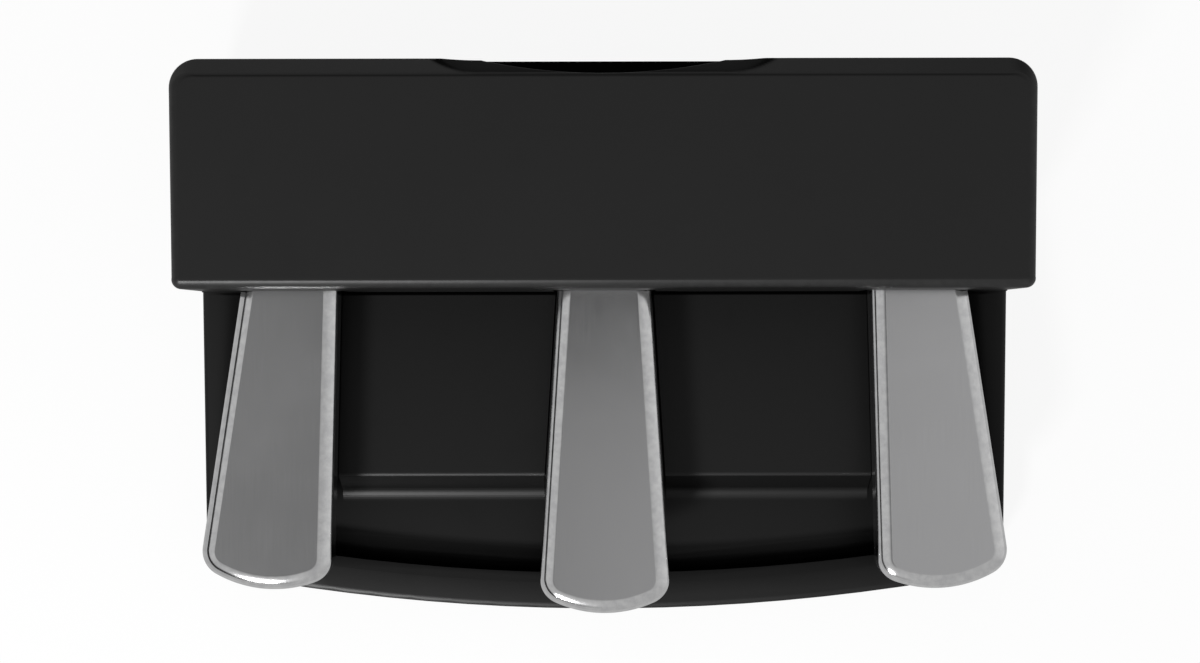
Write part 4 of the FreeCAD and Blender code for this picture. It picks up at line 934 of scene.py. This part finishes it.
for side in SIDES:
    coil = settle(spring(side), "frame", "spring_" + side)
    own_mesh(coil)
    felt = soft_block("felt_" + side, FELT_LOW, FELT_HIGH, 0.7, FELT, side)
    settle(felt, "frame", "rest_felt_" + side)
    low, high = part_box("stop_pad_" + side)
    pad = soft_block("pad_" + side, (-PAD_HALF, PAD_FRONT, low[2] / MM),
                     (PAD_HALF, PAD_REAR, high[2] / MM), 0.6, RUBBER, side)
    settle(pad, "frame", "stop_pad_" + side)


# Floor, room, lamp and camera

def paper():
    """White paper floor that shows white to the camera and in reflections, but keeps the shadow."""
    material, tree, shader = blank("paper")
    path = add(tree, "LightPath").outputs
    seen = math_node(tree, "MAXIMUM", path["Is Camera Ray"], path["Is Glossy Ray"])
    seen = math_node(tree, "MAXIMUM", seen, path["Is Transmission Ray"])
    fibre = add(tree, "TexNoise", {"Vector": object_place(tree), "Scale": 900})
    tone = two_tone(tree, fibre.outputs["Fac"], (0.84, 0.84, 0.84, 1), (0.88, 0.88, 0.88, 1))
    tree.links.new(tone, shader.inputs["Base Color"])
    shader.inputs["Roughness"].default_value = 0.9
    white = remap(tree, path["Is Camera Ray"], 0.0, 1.0, 0.5, 1.0)
    glow = add(tree, "Emission", {"Color": (1, 1, 1, 1), "Strength": white})
    share = math_node(tree, "MULTIPLY", seen, 0.9)
    both = add(tree, "MixShader", {0: share, 1: shader.outputs[0], 2: glow.outputs[0]})
    tree.links.new(both.outputs[0], tree.nodes["Material Output"].inputs["Surface"])
    return material


def ground(half=4, columns=9):
    """Flat square grid round the middle, in metres."""
    line = np.linspace(-half, half, columns)
    x, y = np.meshgrid(line, line)
    index = np.arange(columns * columns).reshape(columns, columns)
    cells = np.stack([index[:-1, :-1], index[:-1, 1:], index[1:, 1:], index[1:, :-1]], -1)
    mesh = bpy.data.meshes.new("ground")
    points = np.column_stack([x.ravel(), y.ravel(), np.zeros(x.size)])
    mesh.from_pydata(points, [], cells.reshape(-1, 4).tolist())
    mesh.materials.append(paper())
    floor = bpy.data.objects.new("floor", mesh)
    bpy.context.scene.collection.objects.link(floor)
    return floor


ground()

# Brightness of the room from the far left to the far right, as place from 0 to 1 and level
PANELS = ((0.0, 0.5), (0.075, 0.58), (0.29, 0.55), (0.365, 0.3), (0.44, 0.19), (0.5, 0.37),
          (0.585, 0.45), (0.725, 0.5), (0.85, 0.6), (1.0, 0.68))
FRONT_LEVEL = (0.5, 0.5, 0.5, 1)


def studio():
    """Soft room whose brightness depends on the direction alone.

    It has panels to the left and right and is dim straight overhead. Its front has one level, and
    its rear gets dimmer from left to right. Two places are dark: a gap low on the left, and the
    shadow of the camera behind the zenith. Seen by the camera itself it is white.
    """
    world = bpy.data.worlds.new("studio")
    world.use_nodes = True
    room = world.node_tree
    facing = add(room, "SeparateXYZ", {"Vector": add(room, "TexCoord").outputs["Generated"]})
    x, y, z = facing.outputs
    panels = add(room, "ValToRGB", {"Fac": remap(room, x, -1.0, 1.0)})
    ramp = panels.color_ramp
    while len(ramp.elements) < len(PANELS):
        ramp.elements.new(0.5)
    for stop, (place, value) in zip(ramp.elements, PANELS):
        stop.position = place
        stop.color = (value, value, value, 1)
    rear_level = math_node(room, "MULTIPLY_ADD", x, -2.2, 0.95, clamp=True)
    level = two_tone(room, remap(room, y, -0.25, -0.5), panels.outputs["Color"], FRONT_LEVEL)
    level = two_tone(room, remap(room, y, 0.35, 0.8), level, rear_level)

    off_gap = math_node(room, "ABSOLUTE", math_node(room, "SUBTRACT", z, 0.45))
    gap = math_node(room, "MULTIPLY", remap(room, off_gap, 0.11, 0.07), remap(room, x, 0.0, -0.35))
    level = math_node(room, "MULTIPLY", level, math_node(room, "MULTIPLY_ADD", gap, -0.95, 1.0))

    flat = add(room, "CombineXYZ", {"X": x, "Y": y}).outputs[0]
    away = add(room, "VectorMath", {0: flat, 1: (0.0, 0.12, 0.0)}, operation="DISTANCE")
    spot = remap(room, away.outputs["Value"], 0.11, 0.15, 1.0, 0.0, "SMOOTHSTEP")
    shadow = math_node(room, "MULTIPLY", spot, math_node(room, "GREATER_THAN", z, 0.0))
    lit = math_node(room, "SUBTRACT", 1.0, shadow)
    level = math_node(room, "MAXIMUM", math_node(room, "MULTIPLY", level, lit), 0.02)

    seen = add(room, "LightPath").outputs["Is Camera Ray"]
    strength = add(room, "Mix", {"Factor": seen, "A": level, "B": 1.0})
    room.links.new(strength.outputs[0], room.nodes["Background"].inputs["Strength"])
    room.nodes["Background"].inputs["Color"].default_value = (1, 1, 1, 1)
    return world


def softbox(name, place, target, width, height, power):
    """Rectangular lamp that faces its target, in metres and watts."""
    lamp = bpy.data.lights.new(name, "AREA")
    lamp.shape = "RECTANGLE"
    lamp.size, lamp.size_y, lamp.energy = width, height, power
    holder = bpy.data.objects.new(name, lamp)
    holder.location = place
    way = np.array(target, float) - np.array(place, float)
    across = math.atan2(way[1], way[0]) - math.pi / 2
    tilt = math.atan2(math.hypot(way[0], way[1]), -way[2])
    holder.rotation_euler = (tilt, 0, across)
    bpy.context.scene.collection.objects.link(holder)


scene = bpy.context.scene
scene.world = studio()
softbox("front_softbox", (-0.38, -0.93, 0.72), (0, 0, 0.04), 0.2, 0.13, 13)

# The camera looks straight down, a hair off the middle and off square, as in the photograph
camera = bpy.data.objects.new("camera", bpy.data.cameras.new("camera"))
camera.data.lens = 57.8
camera.data.clip_start = 0.01
camera.data.shift_x = -0.0138
camera.location = (0.0037, 0.0042, 0.620)
camera.rotation_euler = (0, 0, -0.0018)
scene.collection.objects.link(camera)
scene.camera = camera
scene.view_settings.view_transform = "Standard"
